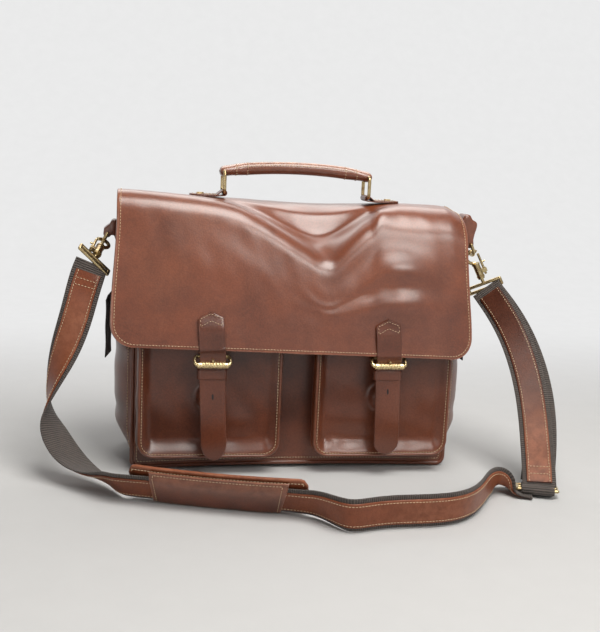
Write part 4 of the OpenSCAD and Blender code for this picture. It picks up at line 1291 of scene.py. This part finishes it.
class SATCHEL_OT_body(bpy.types.Operator):
    """Builds the body: panels, gussets, base, lining and the piping in its seams."""

    bl_idname = "satchel.body"
    bl_label = "Body"

    THICK = 2.4
    # How far the gussets and the base lap over the seams, and the panels tuck under the pipings.
    SEAM_LAP = 1.2
    TUCK = 0.6
    PANEL_CORNER = 5.5
    BACK_BULGE = 3.2
    GUSSET_FROM = 9.0
    # The scoop in the front panel and in the lining behind it: from the rim, and how deep.
    SCOOP_INSET = 33
    SCOOP_DEEP = 47.0
    LINING_SCOOP = 40.0

    def execute(self, context):
        """Builds the body round the seams that hold its pipings."""
        self.rim = high("front_piping")[0]
        self.pipe = (high("front_piping")[1] - low("front_piping")[1]) / 2
        self.seam_x = self.rim - self.pipe
        self.seam_y = middle("back_piping")[1]
        self.top = high("back_panel")[2]
        for name, side in (("front", -1), ("back", 1)):
            self.panel(name, side)
        for name, side in SIDES:
            self.gusset(name, side)
        self.base()
        for name, side in (("front", -1), ("back", 1)):
            self.piping(name, side)
        self.lining()
        finish_node("flap_welt", "Body hide")
        finish_node("base_board", "Fibre board")
        return {"FINISHED"}

    def arch(self, x):
        """How far the base is lifted at x."""
        return sizes().bottom_arch * np.clip(1 - (x / self.seam_x) ** 2, 0, 1)

    def panel(self, name, side):
        """The front panel with its scooped top, or the back panel."""
        node = name + "_panel"
        a, b = low(node), high(node)
        half = self.seam_x - self.pipe + self.TUCK
        face_y = side * max(abs(a[1]), abs(b[1]))
        u, v = np.meshgrid(np.linspace(-1, 1, 90), np.linspace(0, 1, 70), indexing="ij")
        x = u * half
        top = np.full_like(x, b[2])
        if side < 0:
            top = top - scoop(x, self.rim - self.SCOOP_INSET, self.SCOOP_DEEP)
        bottom = a[2] - self.TUCK + self.arch(x) + corner_rise(x, half, self.PANEL_CORNER)
        z = mix(bottom, top, v)
        inside = ease((half - np.abs(x)) / 26) * ease((z - bottom) / 26)
        bulge = self.BACK_BULGE if side > 0 else 0
        lift = 0.9 * wobble(x, z, 21 + side, 90) + bulge * np.sin(math.pi * v)
        shape = Shape()
        plate(shape, np.stack([x, face_y + side * lift * inside, z], -1), self.THICK, (0, 1, 2), -side, 5)
        line = pouch_line(2 * half, self.top - 8, 6, 3.4)
        height = line[:, 1] + a[2] + self.arch(line[:, 0])
        seam = np.stack([line[:, 0], np.full(len(line), face_y + side * 0.1), height], 1)
        stitch(shape, seam, np.broadcast_to((0, side, 0), seam.shape), THREAD_PLACE)
        slot = "dark_leather" if side < 0 else "leather"
        dress(shape, name.title() + "_panel", ["Body hide", *SEWN], "bag", slot, node)

    def gusset(self, name, side):
        """A side of the body, bulged and creased."""
        node = name + "_gusset"
        a, b = low(node), high(node)
        inner = self.seam_x + self.SEAM_LAP
        bulge = max(abs(a[0]), abs(b[0])) - inner
        u, v = np.meshgrid(np.linspace(-1, 1, 40), np.linspace(0, 1, 70), indexing="ij")
        y = u * (b[1] + self.SEAM_LAP)
        z = mix(self.GUSSET_FROM, self.top, v)
        fuller = 0.4 if side > 0 else 0.15
        lift = bulge * (1 - np.abs(u) ** 2.4) * ease(v / 0.16) * (1 + fuller * ease((225 - z) / 60))
        crease = bump(u * 50, z, (8 * side, 62), 60, 9, -2.2) + bump(u * 50, z, (-12, 128), 50, 12, -1.6)
        crease = crease + bump(u * 50, z, (10, 205), 55, 14, -1.4)
        lift = lift + (crease + 0.8 * wobble(y, z, 31 + side, 55)) * ease((1 - np.abs(u)) / 0.3)
        face = np.stack([side * (inner + lift), y, z], -1)
        shape = Shape()
        plate(shape, face, self.THICK, (0, 1, 2), side, 5)
        for row in (2, -3):
            out = np.broadcast_to((side, 0.25 * np.sign(u[row, 0]), 0), face[row].shape)
            stitch(shape, face[row], out, THREAD_PLACE)
        dress(shape, name.title() + "_gusset", ["Body hide", *SEWN], "bag", "leather", node)

    def base(self):
        """The bottom, arched between its ends and turned up at them."""
        tall = high("bottom_panel")[2]
        line = pouch_line(2 * (self.seam_x + self.SEAM_LAP), tall, 10.4, 0, 3.0)
        reach = high("bottom_panel")[1] + self.SEAM_LAP
        line[:, 1] += self.arch(line[:, 0]) * (line[:, 1] < 4)
        face = np.stack([np.insert(line, 1, y, axis=1) for y in np.linspace(-reach, reach, 24)], 1)
        shape = Shape()
        plate(shape, face, self.THICK, (0, 1, 2), facing(face, (0, 0, self.top / 2)), 5)
        dress(shape, "Base_panel", ["Body hide", *SEWN[:2]], "bag", "dark_leather", "bottom_panel")

    def piping(self, name, side):
        """The piping round the front panel, which ends short of the flap's corners, or the back panel."""
        short = 6.0 if side < 0 else 0.0
        rise = self.pipe + 0.5
        line = pouch_line(2 * self.seam_x, self.top - rise - short, 8, 0, 3.0)
        line[:, 1] += rise + self.arch(line[:, 0]) * (line[:, 1] < 3)
        shape = Shape()
        path = np.insert(line, 1, side * self.seam_y, axis=1)
        sweep(shape, path, (0, 1, 0), round_section(self.pipe, 12), rim=0.35)
        dress(shape, name.title() + "_piping", ["Body hide"], "bag", "leather", name + "_piping")

    def lining(self):
        """The cloth bag inside: two skins with a lip between them and a floor to each."""
        a, b = low("lining"), high("lining")
        hx, hy = b[0] - 0.4, b[1] - 0.4
        ring = closed_steps(rounded(hx, hy, 8.0, 6), 7.0)
        n = len(ring)
        rows = 40
        v = np.linspace(0, 1, rows)
        x = np.broadcast_to(ring[:, 0], (rows, n))
        y = np.broadcast_to(ring[:, 1], (rows, n))
        dip = scoop(x, self.rim - self.SCOOP_INSET, self.LINING_SCOOP) * (y < -hy + 2)
        z = a[2] + v[:, None] * (b[2] - a[2] - dip)
        soft = np.sin(math.pi * v)[:, None]
        pull = 1 - 0.012 * soft * (1 + wobble(ring[:, 0] + ring[:, 1], z, 41, 70))
        outer = np.stack([x * pull, y * pull, z], -1)
        inner = outer * (0.996, 0.984, 1) + (0, 0, 0.7)
        around = run(np.vstack([ring, ring[:1]]))
        shape = Shape()
        for skin in (outer, inner):
            shape.add(skin, cells(rows, n, True), cell_uvs(v * 270, around))
        shape.add(np.concatenate([outer[-1], inner[-1]]), cells(2, n, True))
        for skin in (outer, inner):
            cap(shape, skin[0])
        made = dress(shape, "Lining", ["Black cloth"], "bag", "black_fabric", "lining")


class SATCHEL_OT_pockets(bpy.types.Operator):
    """Builds the two front pockets: dished fronts, their gussets, rims and snaps."""

    bl_idname = "satchel.pockets"
    bl_label = "Pockets"

    CORNER = 16.0
    THICK = 2.4
    GUSSET_THICK = 1.8
    # How far the front sinks just inside its seams, and further in beyond them.
    LIP_DEEP = 2.8
    DISH_DEEP = 5.6
    # The snap holds the front out round it. The dish starts again about two of these away.
    SNAP_RADIUS = 8

    def execute(self, context):
        """Builds both pockets."""
        for name, side in SIDES:
            self.low = low(name + "_pocket_piping")
            b = high(name + "_pocket_piping")
            self.centre = (self.low[0] + b[0]) / 2
            self.pipe = (b[1] - self.low[1]) / 2
            self.wide = b[0] - self.low[0]
            self.tall = b[2] - self.low[2]
            self.front(name, side)
            self.edge(name)
            self.gusset(name, side)
            finish_node(name + "_snap_socket", "Browned brass")
        return {"FINISHED"}

    def sway(self, z):
        """How far the pocket's front leans back at a height, towards its mouth."""
        return 2.0 * ease((z - self.tall * 0.35) / self.tall)

    def line(self, inset):
        """The pocket's outline, inside its edge by an inset."""
        return pouch_line(self.wide, self.tall, self.CORNER + self.pipe, inset, 3.0)

    def around(self, line, depth):
        """An outline's points at a depth behind the foremost edge."""
        y = self.low[1] + depth + self.sway(line[:, 1])
        return np.stack([self.centre + line[:, 0], y, self.low[2] + line[:, 1]], 1)

    def front(self, name, side):
        """The front, dished between its seams and pushed out by its snap."""
        half = self.wide / 2 - self.pipe
        u, v = np.meshgrid(np.linspace(-1, 1, 70), np.linspace(0, 1, 70) ** 1.15, indexing="ij")
        x = u * half
        bottom = self.pipe + corner_rise(x, half, self.CORNER)
        z = mix(bottom, self.tall, v)
        aside = half - np.abs(x)
        above = z - bottom
        deep = self.DISH_DEEP * (1.08 - 0.42 * u + 0.12 * wobble(x, x, 80 + side, 40))
        lip = 20 + 5 * wobble(x, x, 84 + side, 50)
        dish = self.LIP_DEEP * ease(aside / 16) * ease(above / 18)
        dish = dish + deep * ease(above / lip) * ease(aside / 13)
        dish = dish + 0.8 * wobble(x, z, 50 + side, 45) * ease(np.minimum(aside, above) / 18)
        dish = dish + bump(x, z, (-18 * side, 40), 40, 14, -1.2) + bump(x, z, (30, 70), 26, 40, 1.0)
        snap_z = middle(name + "_snap_socket")[2] - self.low[2]
        dish = dish * (1 - ease(2.2 - np.hypot(x, z - snap_z) / self.SNAP_RADIUS))
        y = self.low[1] + 0.8 + dish + self.sway(z)
        shape = Shape()
        plate(shape, np.stack([self.centre + x, y, self.low[2] + z], -1), self.THICK, (0, 1, 2), 1, 7)
        seam = self.around(self.line(2 * self.pipe + 0.4), 0.6)
        stitch(shape, seam, np.broadcast_to((0, -1, 0), seam.shape), THREAD_PLACE)
        node = name + "_pocket_front"
        dress(shape, name.title() + "_pocket_front", ["Body hide", *SEWN], "bag", "leather", node)

    def edge(self, name):
        """The rolled edge between the front and the gusset."""
        shape = Shape()
        section = oval_section(2 * self.pipe + 0.2, 2 * self.pipe - 0.6, 12)
        sweep(shape, self.around(self.line(self.pipe), self.pipe), (0, 1, 0), section, rim=0.75)
        dress(shape, name.title() + "_pocket_rim", ["Body hide"], "bag", "leather", name + "_pocket_piping")

    def gusset(self, name, side):
        """The gusset, swollen between the rolled edge and the bag."""
        line = self.line(self.pipe)
        x, z = line[:, 0], line[:, 1]
        back_y = high(name + "_pocket_gusset")[1]
        out = -unit(np.stack([np.gradient(z), -np.gradient(x)], 1))
        if out[len(out) // 2][1] > 0:
            out = -out
        rows = []
        for share in np.linspace(0, 1, 14):
            y = mix(self.low[1] + 2 * self.pipe - 0.6, back_y, share)
            swell = 2.6 * math.sin(math.pi * share) + 1.2 * math.sin(2 * math.pi * share)
            ripple = swell * (1 + 0.35 * wobble(x, z, 60 + side, 30))
            spot = line + out * ripple[:, None] + (self.centre, self.low[2])
            rows.append(np.insert(spot, 1, y, axis=1))
        grid = np.array(rows)
        hub = (self.centre, (self.low[1] + back_y) / 2, self.low[2] + self.tall)
        shape = Shape()
        plate(shape, grid, self.GUSSET_THICK, (0, 1, 2), facing(grid, hub), 4)
        node = name + "_pocket_gusset"
        dress(shape, name.title() + "_pocket_gusset", ["Body hide", *SEWN[:2]], "bag", "dark_leather", node)


class SATCHEL_OT_flap(bpy.types.Operator):
    """Builds the flap that falls over the front, with its sag, seam and black side wings."""

    bl_idname = "satchel.flap"
    bl_label = "Flap"

    def execute(self, context):
        """Builds the flap and its wings."""
        form = Flap()
        self.leather(form)
        start = (0, form.fold_y + 14, form.fold_z + 14)
        end = (0, form.fold_y - 6, form.fold_z - 24)
        for name, side in SIDES:
            self.wing(name, side, start, end)
        return {"FINISHED"}

    def leather(self, form):
        """The flap's leather and its seam."""
        way = np.concatenate([
            np.linspace(0, form.length - form.CORNER, 120)[:-1],
            form.length - form.CORNER * np.linspace(1, 0, 26) ** 2,
        ])
        even = np.linspace(-1, 1, 130)
        u = np.sin(even * math.pi / 2) * 0.35 + even * 0.65
        x = u[None, :] * form.half_at(way)[:, None]
        face = form.at(x, np.broadcast_to(way[:, None], x.shape))
        shape = Shape()
        plate(shape, face, form.THICK, (0, 1, 2), 1, 6, (0, 1, 1, 1))
        seam_x, seam_way = form.edge_line(sizes().seam_inset, 12).T
        stitch(shape, form.at(seam_x, seam_way), form.normal(seam_x, seam_way), THREAD_PLACE)
        start = (0, form.fold_y, form.fold_z - 4)
        end = (0, form.fold_y - 14, form.fold_z - 40)
        finishes = ["Flap hide", "Leather back", "Flap hide", "Waxed thread"]
        bend(shape, "Flap", finishes, "leather", "flap", "front_flap", start, end, "flap_top", "flap_front")

    def wing(self, name, side, start, end):
        """A black side wing. The left one's lower part stands out, the right one lies under the flap."""
        node = name + "_wing"
        a, b = low(node), high(node)
        out = max(abs(a[0]), abs(b[0]))
        u, v = np.meshgrid(np.linspace(0, 1, 16), np.linspace(0, 1, 30), indexing="ij")
        if side < 0:
            top_back, top_front = b[2], b[2] - 5.5
            reach = mix(out - 5, out + 5 + 5 * u, ease((v - 0.48) / 0.14))
        else:
            top_back, top_front = b[2] - 8, b[2] - 19
            reach = mix(out - 15, out - 6 - 2 * u, ease(v / 0.6))
        y = mix(b[1], mix(b[1] - 16, a[1], v), u)
        z = mix(mix(top_back, top_front, u), a[2], v)
        x = reach + 1.1 * wobble(y, z, 71 + side, 40) * ease(v / 0.3) - 0.6
        grid = np.stack([side * x, y, z], -1)
        normal = np.cross(np.gradient(grid, axis=0), np.gradient(grid, axis=1))
        outward = 1 if np.sum(normal[..., 0]) * side > 0 else -1
        shape = Shape()
        plate(shape, grid, 1.0, (0, 0, 0), outward, 3)
        made = bend(shape, name.title() + "_wing", ["Black cloth"], "black_fabric",
                    "flap", "front_flap", start, end, node)


class SATCHEL_OT_closures(bpy.types.Operator):
    """Builds the two closures: strap, buckle, roller, keeper loop and the tab with its snap."""

    bl_idname = "satchel.closures"
    bl_label = "Closures"

    STRAP_WIDE = 28.0
    STRAP_THICK = 2.4
    TAB_THICK = 2.3
    KEEPER_THICK = 1.8
    WIRE = 4.0
    # Length of the strap on the flap, and how far from its end the hole is.
    SEWN_LENGTH = 40
    HOLE_FROM_TIP = 72
    # Seams of the upper strap: distance from its end and place across it.
    SEAMS = (
        [(2.2, 0), (7.6, -11.6)], [(2.2, 0), (7.6, 11.6)], [(7.6, -11.6), (15.5, -11.6)],
        [(7.6, 11.6), (15.5, 11.6)], [(10, 0), (15.5, -11.6)], [(10, 0), (15.5, 11.6)],
    )
    # The straps hang alike but not the same: sideways lean, change of the tip, and the shape of the point.
    HANG = {"left": (4.5, -4, 19.0, 1.7), "right": (3.0, 2, 14.0, 2.1)}

    def execute(self, context):
        """Builds both closures."""
        form = Flap()
        for name, _ in SIDES:
            self.body = name + "_closure"
            self.x = middle(name + "_upper_strap")[0]
            self.strap(name, form)
            self.buckle(name)
            self.roller(name)
            self.keeper(name)
            self.tab(name)
            finish_node(name + "_prong", "Worn brass")
            finish_node(name + "_snap_stud", "Browned brass")
        return {"FINISHED"}

    def strap_path(self, name, form):
        """The strap's middle line, from its end on the flap through the buckle to its tip."""
        thick = self.STRAP_THICK
        sideways, tip_change, _, _ = self.HANG[name]
        ways = np.linspace(form.length - 1 - self.SEWN_LENGTH, form.length - 1, 20)
        across = self.x - np.linspace(2.5, 0, 20)
        left = np.clip((form.length - 1 - ways) / self.SEWN_LENGTH, 0, 1)
        bow = 2.4 * np.sin(math.pi * left) ** 2
        upper = form.at(across, ways) + form.normal(across, ways) * (thick / 2 + 0.15 + bow)[:, None]
        hem = upper[-1]
        hang = low(name + "_under_tab")[1] - thick / 2 - 0.1
        tip = low(name + "_lower_strap")[2] + tip_change
        roller_z = middle(name + "_roller")[2]
        knots = [
            (hem[1], hem[2]), (hem[1] + 1.6, hem[2] - 5), (hang - 0.6, roller_z + 3), (hang, roller_z - 5),
            (hang, roller_z - 22), (hang - 0.6, tip + 62), (hang - 1.4, tip + 34), (hang - 0.6, tip + 14),
            (hang + 1.6, tip),
        ]
        knots = np.insert(knots, 0, self.x, axis=1)
        knots[0] = hem
        path = resample(np.vstack([upper[:-1], spline(knots, 10)]), 1.2)
        path[:, 0] += sideways * np.clip((125 - path[:, 2]) / 100, 0, 1) ** 1.3
        return path

    def strap(self, name, form):
        """The strap, pointed at both ends, with its seams and a black oval of painted shade for its hole."""
        thick = self.STRAP_THICK
        _, _, point_long, point_power = self.HANG[name]
        path = self.strap_path(name, form)
        far = run(path)
        left = np.clip((far[-1] - far) / point_long, 0, 1)
        tip = np.sqrt(1 - (1 - left) ** point_power)
        share = np.maximum(np.minimum(np.clip(far / 7.0, 0.03, 1), tip), 0.03)
        widths = np.stack([share, np.ones(len(path))], 1)
        shape = Shape()
        sweep(shape, path, (1, 0, 0), band_section(self.STRAP_WIDE, thick, 0, 9), 0, widths)
        _, over, out = directions(path, (1, 0, 0))
        if out[len(path) // 2][1] > 0:
            out = -out

        def on(at, aside):
            """Points on the strap's face and the directions out of it."""
            normals = unit(along_line(at, far, out))
            spot = along_line(at, far, path) + along_line(at, far, over) * aside[:, None]
            return spot + normals * thick / 2, normals

        for row in self.SEAMS:
            line = resample(row, 1.0)
            points, normals = on(line[:, 0], line[:, 1])
            stitch(shape, points, normals, 1, pitch=2.7, length=2.0, radius=0.32)
        # The hole is not cut: a black oval on the strap's face is painted shade in its place.
        points, normals = on(far[-1:] - self.HOLE_FROM_TIP, np.zeros(1))
        disc = oval_section(2.2, 6.5, 16)
        ring = points + normals * 0.06 + over[0] * disc[:, :1] + np.cross(normals, over[0]) * disc[:, 1:]
        fan = [(i, (i + 1) % 16, 16) for i in range(16)]
        shape.add(np.vstack([ring, points + normals * 0.02]), fan, None, 2)
        fold = low(name + "_upper_strap")[2]
        bend(shape, name.title() + "_closure_strap", ["Strap hide", "Waxed thread", "Black cloth"], "leather",
             "front_flap", self.body, (self.x, -97, fold + 6), (self.x, -94, fold - 5),
             name + "_upper_strap", name + "_lower_strap")

    def buckle_bar(self, name):
        """The middle of the bar that the tab holds."""
        top = high(name + "_buckle_frame")
        return np.array([self.x, top[1] - self.WIRE / 2, top[2] - self.WIRE / 2])

    def buckle(self, name):
        """The buckle's frame of bent wire, from its bar to the roller's."""
        wire = self.WIRE
        a, b = low(name + "_buckle_frame"), high(name + "_buckle_frame")
        roller = middle(name + "_roller")
        bar = self.buckle_bar(name)
        reach = np.linalg.norm((bar - roller)[1:])
        down = unit((roller - bar) * (0, 1, 1))
        ring = rounded((b[0] - a[0] - wire) / 2, reach / 2, 4.0, 6) + (0, reach / 2)
        path = bar + ring[:, :1] * np.array([1, 0, 0]) + ring[:, 1:] * down
        section = oval_section(wire + 0.6, wire - 0.2, 14)
        shape = Shape()
        sweep(shape, path, np.cross((1, 0, 0), down), section, closed=True)
        dress(shape, name.title() + "_buckle", ["Worn brass"], self.body, "brass", name + "_buckle_frame")

    def roller(self, name):
        """The roller, roped between plain ends."""
        node = name + "_roller"
        half_long, _, radius = (high(node) - low(node)) / 2
        x = np.linspace(-half_long, half_long, 90)[:, None]
        turn = np.linspace(0, 2 * math.pi, 40, endpoint=False)
        bead = np.clip((half_long - np.abs(x)) / 1.2, 0, 1)
        rope = 0.32 * np.sin(x * 2.1 + 2 * turn) * ease((half_long - 4 - np.abs(x)) / 1.5)
        swell = (radius - 0.35 + rope) * (0.86 + 0.14 * np.sqrt(bead))
        points = np.stack(np.broadcast_arrays(x, swell * np.cos(turn), swell * np.sin(turn)), -1)
        shape = Shape()
        shape.add(points + middle(node), cells(90, 40, True))
        for end in (points[0], points[-1]):
            shape.add(np.vstack([end, end * (1, 0.6, 0.6)]) + middle(node), cells(2, 40, True))
        dress(shape, name.title() + "_roller", ["Worn brass"], node, "brass", node)

    def keeper(self, name):
        """The loop that keeps the strap's end, bowed front and back."""
        node = name + "_keeper"
        thick = self.KEEPER_THICK
        wide, deep, tall = high(node) - low(node)
        half = (wide - thick) / 2
        ring = closed_steps(rounded(half, (deep - thick) / 2, 2.4, 6), 1.6)
        ring[:, 1] += 0.7 * (1 - (ring[:, 0] / half) ** 2) * np.sign(ring[:, 1])
        shape = Shape()
        path = middle(node) + np.insert(ring, 2, 0, axis=1)
        sweep(shape, path, (0, 0, 1), band_section(tall, thick, 0, 6), closed=True)
        dress(shape, name.title() + "_keeper", ["Strap hide"], self.body, "dark_leather", node)

    def tab(self, name):
        """The tab under the strap, hooked round the buckle's bar."""
        node = name + "_under_tab"
        a, b = low(node), high(node)
        bar = self.buckle_bar(name)
        y = a[1] + self.TAB_THICK / 2 + 0.05
        hook = arc((bar[1], bar[2]), 3.2, 205, -40, 16)
        line = resample(np.vstack([[(y, a[2]), (y, bar[2] - 8), (y, bar[2] - 3)], hook]), 1.5)
        path = np.insert(line, 0, self.x, axis=1)
        widths = np.stack([np.clip(run(path) / 12, 0.05, 1) ** 0.5, np.ones(len(path))], 1)
        shape = Shape()
        sweep(shape, path, (1, 0, 0), band_section(b[0] - a[0], self.TAB_THICK, 0, 6), 0, widths)
        dress(shape, name.title() + "_under_tab", ["Strap hide"], self.body, "dark_leather", node)


class SATCHEL_OT_handle(bpy.types.Operator):
    """Builds the rolled handle, its rings and the sewn tabs that anchor them."""

    bl_idname = "satchel.handle"
    bl_label = "Handle"

    ANCHOR_THICK = 1.2
    SEAM_INSET = 2.6
    RING_BAR = 2
    GRIP_RADIUS = 7.0
    # The grip's ends reach past the rings and are flatter and wider than its middle.
    END_REACH = 5.4
    END_WIDE = 10.6
    END_TALL = 5.9

    def execute(self, context):
        """Builds the handle."""
        for name, side in SIDES:
            self.ring(name)
            self.anchor(name, side)
        self.grip()
        finish_node("handle_rivets", "Worn brass")
        return {"FINISHED"}

    def ring(self, name):
        """A ring of round wire with rounded corners."""
        node = name + "_handle_ring"
        wire, deep, tall = high(node) - low(node)
        ring = rounded((deep - wire) / 2, (tall - wire) / 2, 5.0, 7)
        shape = Shape()
        path = middle(node) + np.insert(ring, 0, 0, axis=1)
        sweep(shape, path, (1, 0, 0), round_section(wire / 2, 14), closed=True)
        dress(shape, name.title() + "_ring", ["Browned brass"], name + "_ring", "brass", node)

    def anchor(self, name, side):
        """A tab folded round its ring's lower bar and sewn down."""
        node = name + "_anchor"
        a, b = low(node), high(node)
        ring_x = middle(name + "_handle_ring")[0]
        bar = low(name + "_handle_ring")[2] + self.RING_BAR
        thick = self.ANCHOR_THICK
        long = max(abs(a[0] - ring_x), abs(b[0] - ring_x))
        under, over = a[2] + thick / 2, a[2] + 1.5 * thick
        loop = arc((0, bar), 3.0, 260, 70, 18)
        line = resample(np.vstack([[(long, under), (9, under)], loop, [(8, over), (long, over)]]), 1.0)
        path = np.stack([ring_x + side * line[:, 0], np.zeros(len(line)), line[:, 1]], 1)
        half = (b[1] - a[1]) / 2
        share = 1 - 0.6 * corner_rise(line[:, 0], long, 10.0) / half
        widths = np.stack([share, np.ones(len(path))], 1)
        shape = Shape()
        sweep(shape, path, (0, 1, 0), band_section(2 * half, thick, 0, 8), 0, widths, 0.3)
        edge = half - self.SEAM_INSET
        rows = [[(t, w * edge) for t in np.linspace(9, long - 7, 20)] for w in (-1, 1)]
        rows += [[(t, v) for v in np.linspace(-edge, edge, 9)] for t in (9, long - 4)]
        for row in rows:
            seam = np.insert(np.array(row) * (side, 1) + (ring_x, 0), 2, a[2] + 2 * thick, axis=1)
            stitch(shape, seam, np.broadcast_to((0, 0, 1.0), seam.shape), 1)
        dress(shape, name.title() + "_anchor", ["Strap hide", "Waxed thread"], "flap", "leather", node)

    def grip(self):
        """The rolled grip, arched between its rings, sewn along its front and round its ends."""
        half = middle("right_handle_ring")[0]
        bar = high("right_handle_ring")[2] - self.RING_BAR
        rise = high("handle_grip")[2] - self.GRIP_RADIUS - bar - 4.5
        reach = half + self.END_REACH
        x = np.linspace(-reach, reach, 140)
        z = bar + rise * (1 - (np.clip(np.abs(x), 0, half) / half) ** 2) ** 0.9
        path = np.stack([x, np.zeros(len(x)), z], 1)
        tip = np.clip((reach - np.abs(x)) / self.END_REACH, 0, 1)
        dome = np.maximum(np.sqrt(1 - (1 - tip) ** 2), 0.05)
        flat = ease((np.abs(x) - half + 26) / 22)
        wide = mix(self.GRIP_RADIUS, self.END_WIDE, flat) * dome ** 0.4
        tall = mix(self.GRIP_RADIUS, self.END_TALL, flat) * dome
        shape = Shape()
        sweep(shape, path, (0, 1, 0), round_section(1.0, 24), 0, np.stack([wide, tall], 1))
        # Painted highlight: the grip's upper half takes the paler worn colour, most at its top.
        upward = (shape.points[0][:, 2].reshape(len(x), -1) - z[:, None]) / tall[:, None]
        shape.edge_wear_and_sheen[0] = ease(upward).ravel()
        inner = np.abs(x) < half - 12
        front = path[inner] + np.stack([np.zeros(inner.sum()), -wide[inner] * 0.9, tall[inner] * 0.42], 1)
        stitch(shape, front, np.broadcast_to(unit(np.array([0, -0.9, 0.42])), front.shape), 1)
        turn = np.linspace(0.15, 2 * math.pi - 0.15, 40)
        for at in (14 - half, 26 - half, half - 14, half - 26):
            k = int(np.argmin(np.abs(x - at)))
            around = np.stack([np.zeros(40), wide[k] * np.sin(turn), tall[k] * np.cos(turn)], 1) * 1.01
            stitch(shape, path[k] + around, unit(around), 1, pitch=3.4, length=2.6)
        dress(shape, "Grip", ["Handle hide", "Waxed thread"], "grip", "leather", "handle_grip")


class SATCHEL_OT_side_fittings(bpy.types.Operator):
    """Builds the leather loops at the sides and finishes the rings, clasps and slider."""

    bl_idname = "satchel.side_fittings"
    bl_label = "Side fittings"

    # The D-ring's bar in its loop: out from the middle, and up.
    BAR = (210.9, 258.0)
    # The right loop's slack top: out from its inner edge and down from its top.
    SLACK = ((0, -7), (4, -0.5), (9.5, -1), (13, -6), (18, -9), (19, -14), (17, -22))

    def execute(self, context):
        """Builds both loops and finishes the metal."""
        for name, side in SIDES:
            self.chape(name, side)
            for part in ("_d_ring", "_clasp", "_trigger", "_swivel_eye"):
                finish_node(name + part, "Browned brass")
        finish_node("strap_slider", "Browned brass")
        return {"FINISHED"}

    def chape(self, name, side):
        """A loop of leather that holds a D-ring, drawn as its outline from the front."""
        node = name + "_chape"
        a, b = low(node), high(node)
        inner = min(abs(a[0]), abs(b[0]))
        bar_x, bar_z = self.BAR
        if side > 0:
            over = spline(np.array(self.SLACK) + (inner, b[2]), 5)
        else:
            outer = bar_x - 3.0
            radius = (outer - inner) / 2
            over = arc(((inner + outer) / 2, b[2] - 20 - radius), radius, 180, 0, 16)
        outline = closed_steps(np.vstack([
            [(inner, a[2]), (inner, a[2] + 20)], over, [(bar_x + 3.6, bar_z + 6)],
            arc((bar_x, bar_z), 4.4, 20, -160, 16), [(inner + 4, bar_z - 2), (inner + 2.4, a[2])],
        ]), 1.6)
        centre = outline.mean(0)
        section = (outline - centre) * (side, -1)
        y = np.concatenate([[a[1], a[1] + 0.6], np.linspace(a[1] + 2, b[1] - 2, 12), [b[1] - 0.6, b[1]]])
        path = np.stack([np.full(len(y), side * centre[0]), y, np.full(len(y), centre[1])], 1)
        share = np.interp(np.minimum(y - a[1], b[1] - y), (0, 0.6, 2), (0.84, 0.94, 1))
        shape = Shape()
        sweep(shape, path, (1, 0, 0), section, 0, np.stack([share, share], 1), 0.3)
        # The right loop takes the lighter flap hide as painted light; the left one, mostly hidden, keeps the
        # body hide.
        hide = "Flap hide" if side > 0 else "Body hide"
        dress(shape, name.title() + "_chape", [hide], "bag", "leather", node)


class SATCHEL_PT_panel(bpy.types.Panel):
    """Lists the pieces of the satchel."""

    bl_label = "Satchel"
    bl_idname = "SATCHEL_PT_panel"
    bl_space_type = "VIEW_3D"
    bl_region_type = "UI"
    bl_category = "Satchel"

    def draw(self, context):
        """Draws a button for each piece and a field for each setting."""
        for operator in OPERATORS:
            self.layout.operator(operator.bl_idname)
        for group in (context.scene.satchel_sizes, context.scene.satchel_colours):
            for name in type(group).__annotations__:
                self.layout.prop(group, name)


OPERATORS = (
    SATCHEL_OT_stage,
    SATCHEL_OT_shoulder_strap,
    SATCHEL_OT_pad,
    SATCHEL_OT_body,
    SATCHEL_OT_pockets,
    SATCHEL_OT_flap,
    SATCHEL_OT_closures,
    SATCHEL_OT_handle,
    SATCHEL_OT_side_fittings,
)
CLASSES = (SatchelColours, SatchelSizes, *OPERATORS, SATCHEL_PT_panel)


def register():
    """Registers the classes and the settings."""
    for item in CLASSES:
        bpy.utils.register_class(item)
    bpy.types.Scene.satchel_sizes = bpy.props.PointerProperty(type=SatchelSizes)
    bpy.types.Scene.satchel_colours = bpy.props.PointerProperty(type=SatchelColours)


def unregister():
    """Removes the settings and the classes."""
    del bpy.types.Scene.satchel_colours
    del bpy.types.Scene.satchel_sizes
    for item in reversed(CLASSES):
        bpy.utils.unregister_class(item)


def main():
    """Builds the satchel."""
    register()
    bpy.ops.satchel.stage()
    bpy.ops.satchel.shoulder_strap()
    bpy.ops.satchel.pad()
    bpy.ops.satchel.body()
    bpy.ops.satchel.pockets()
    bpy.ops.satchel.flap()
    bpy.ops.satchel.closures()
    bpy.ops.satchel.handle()
    bpy.ops.satchel.side_fittings()
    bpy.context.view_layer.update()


if __name__ == "__main__":
    main()
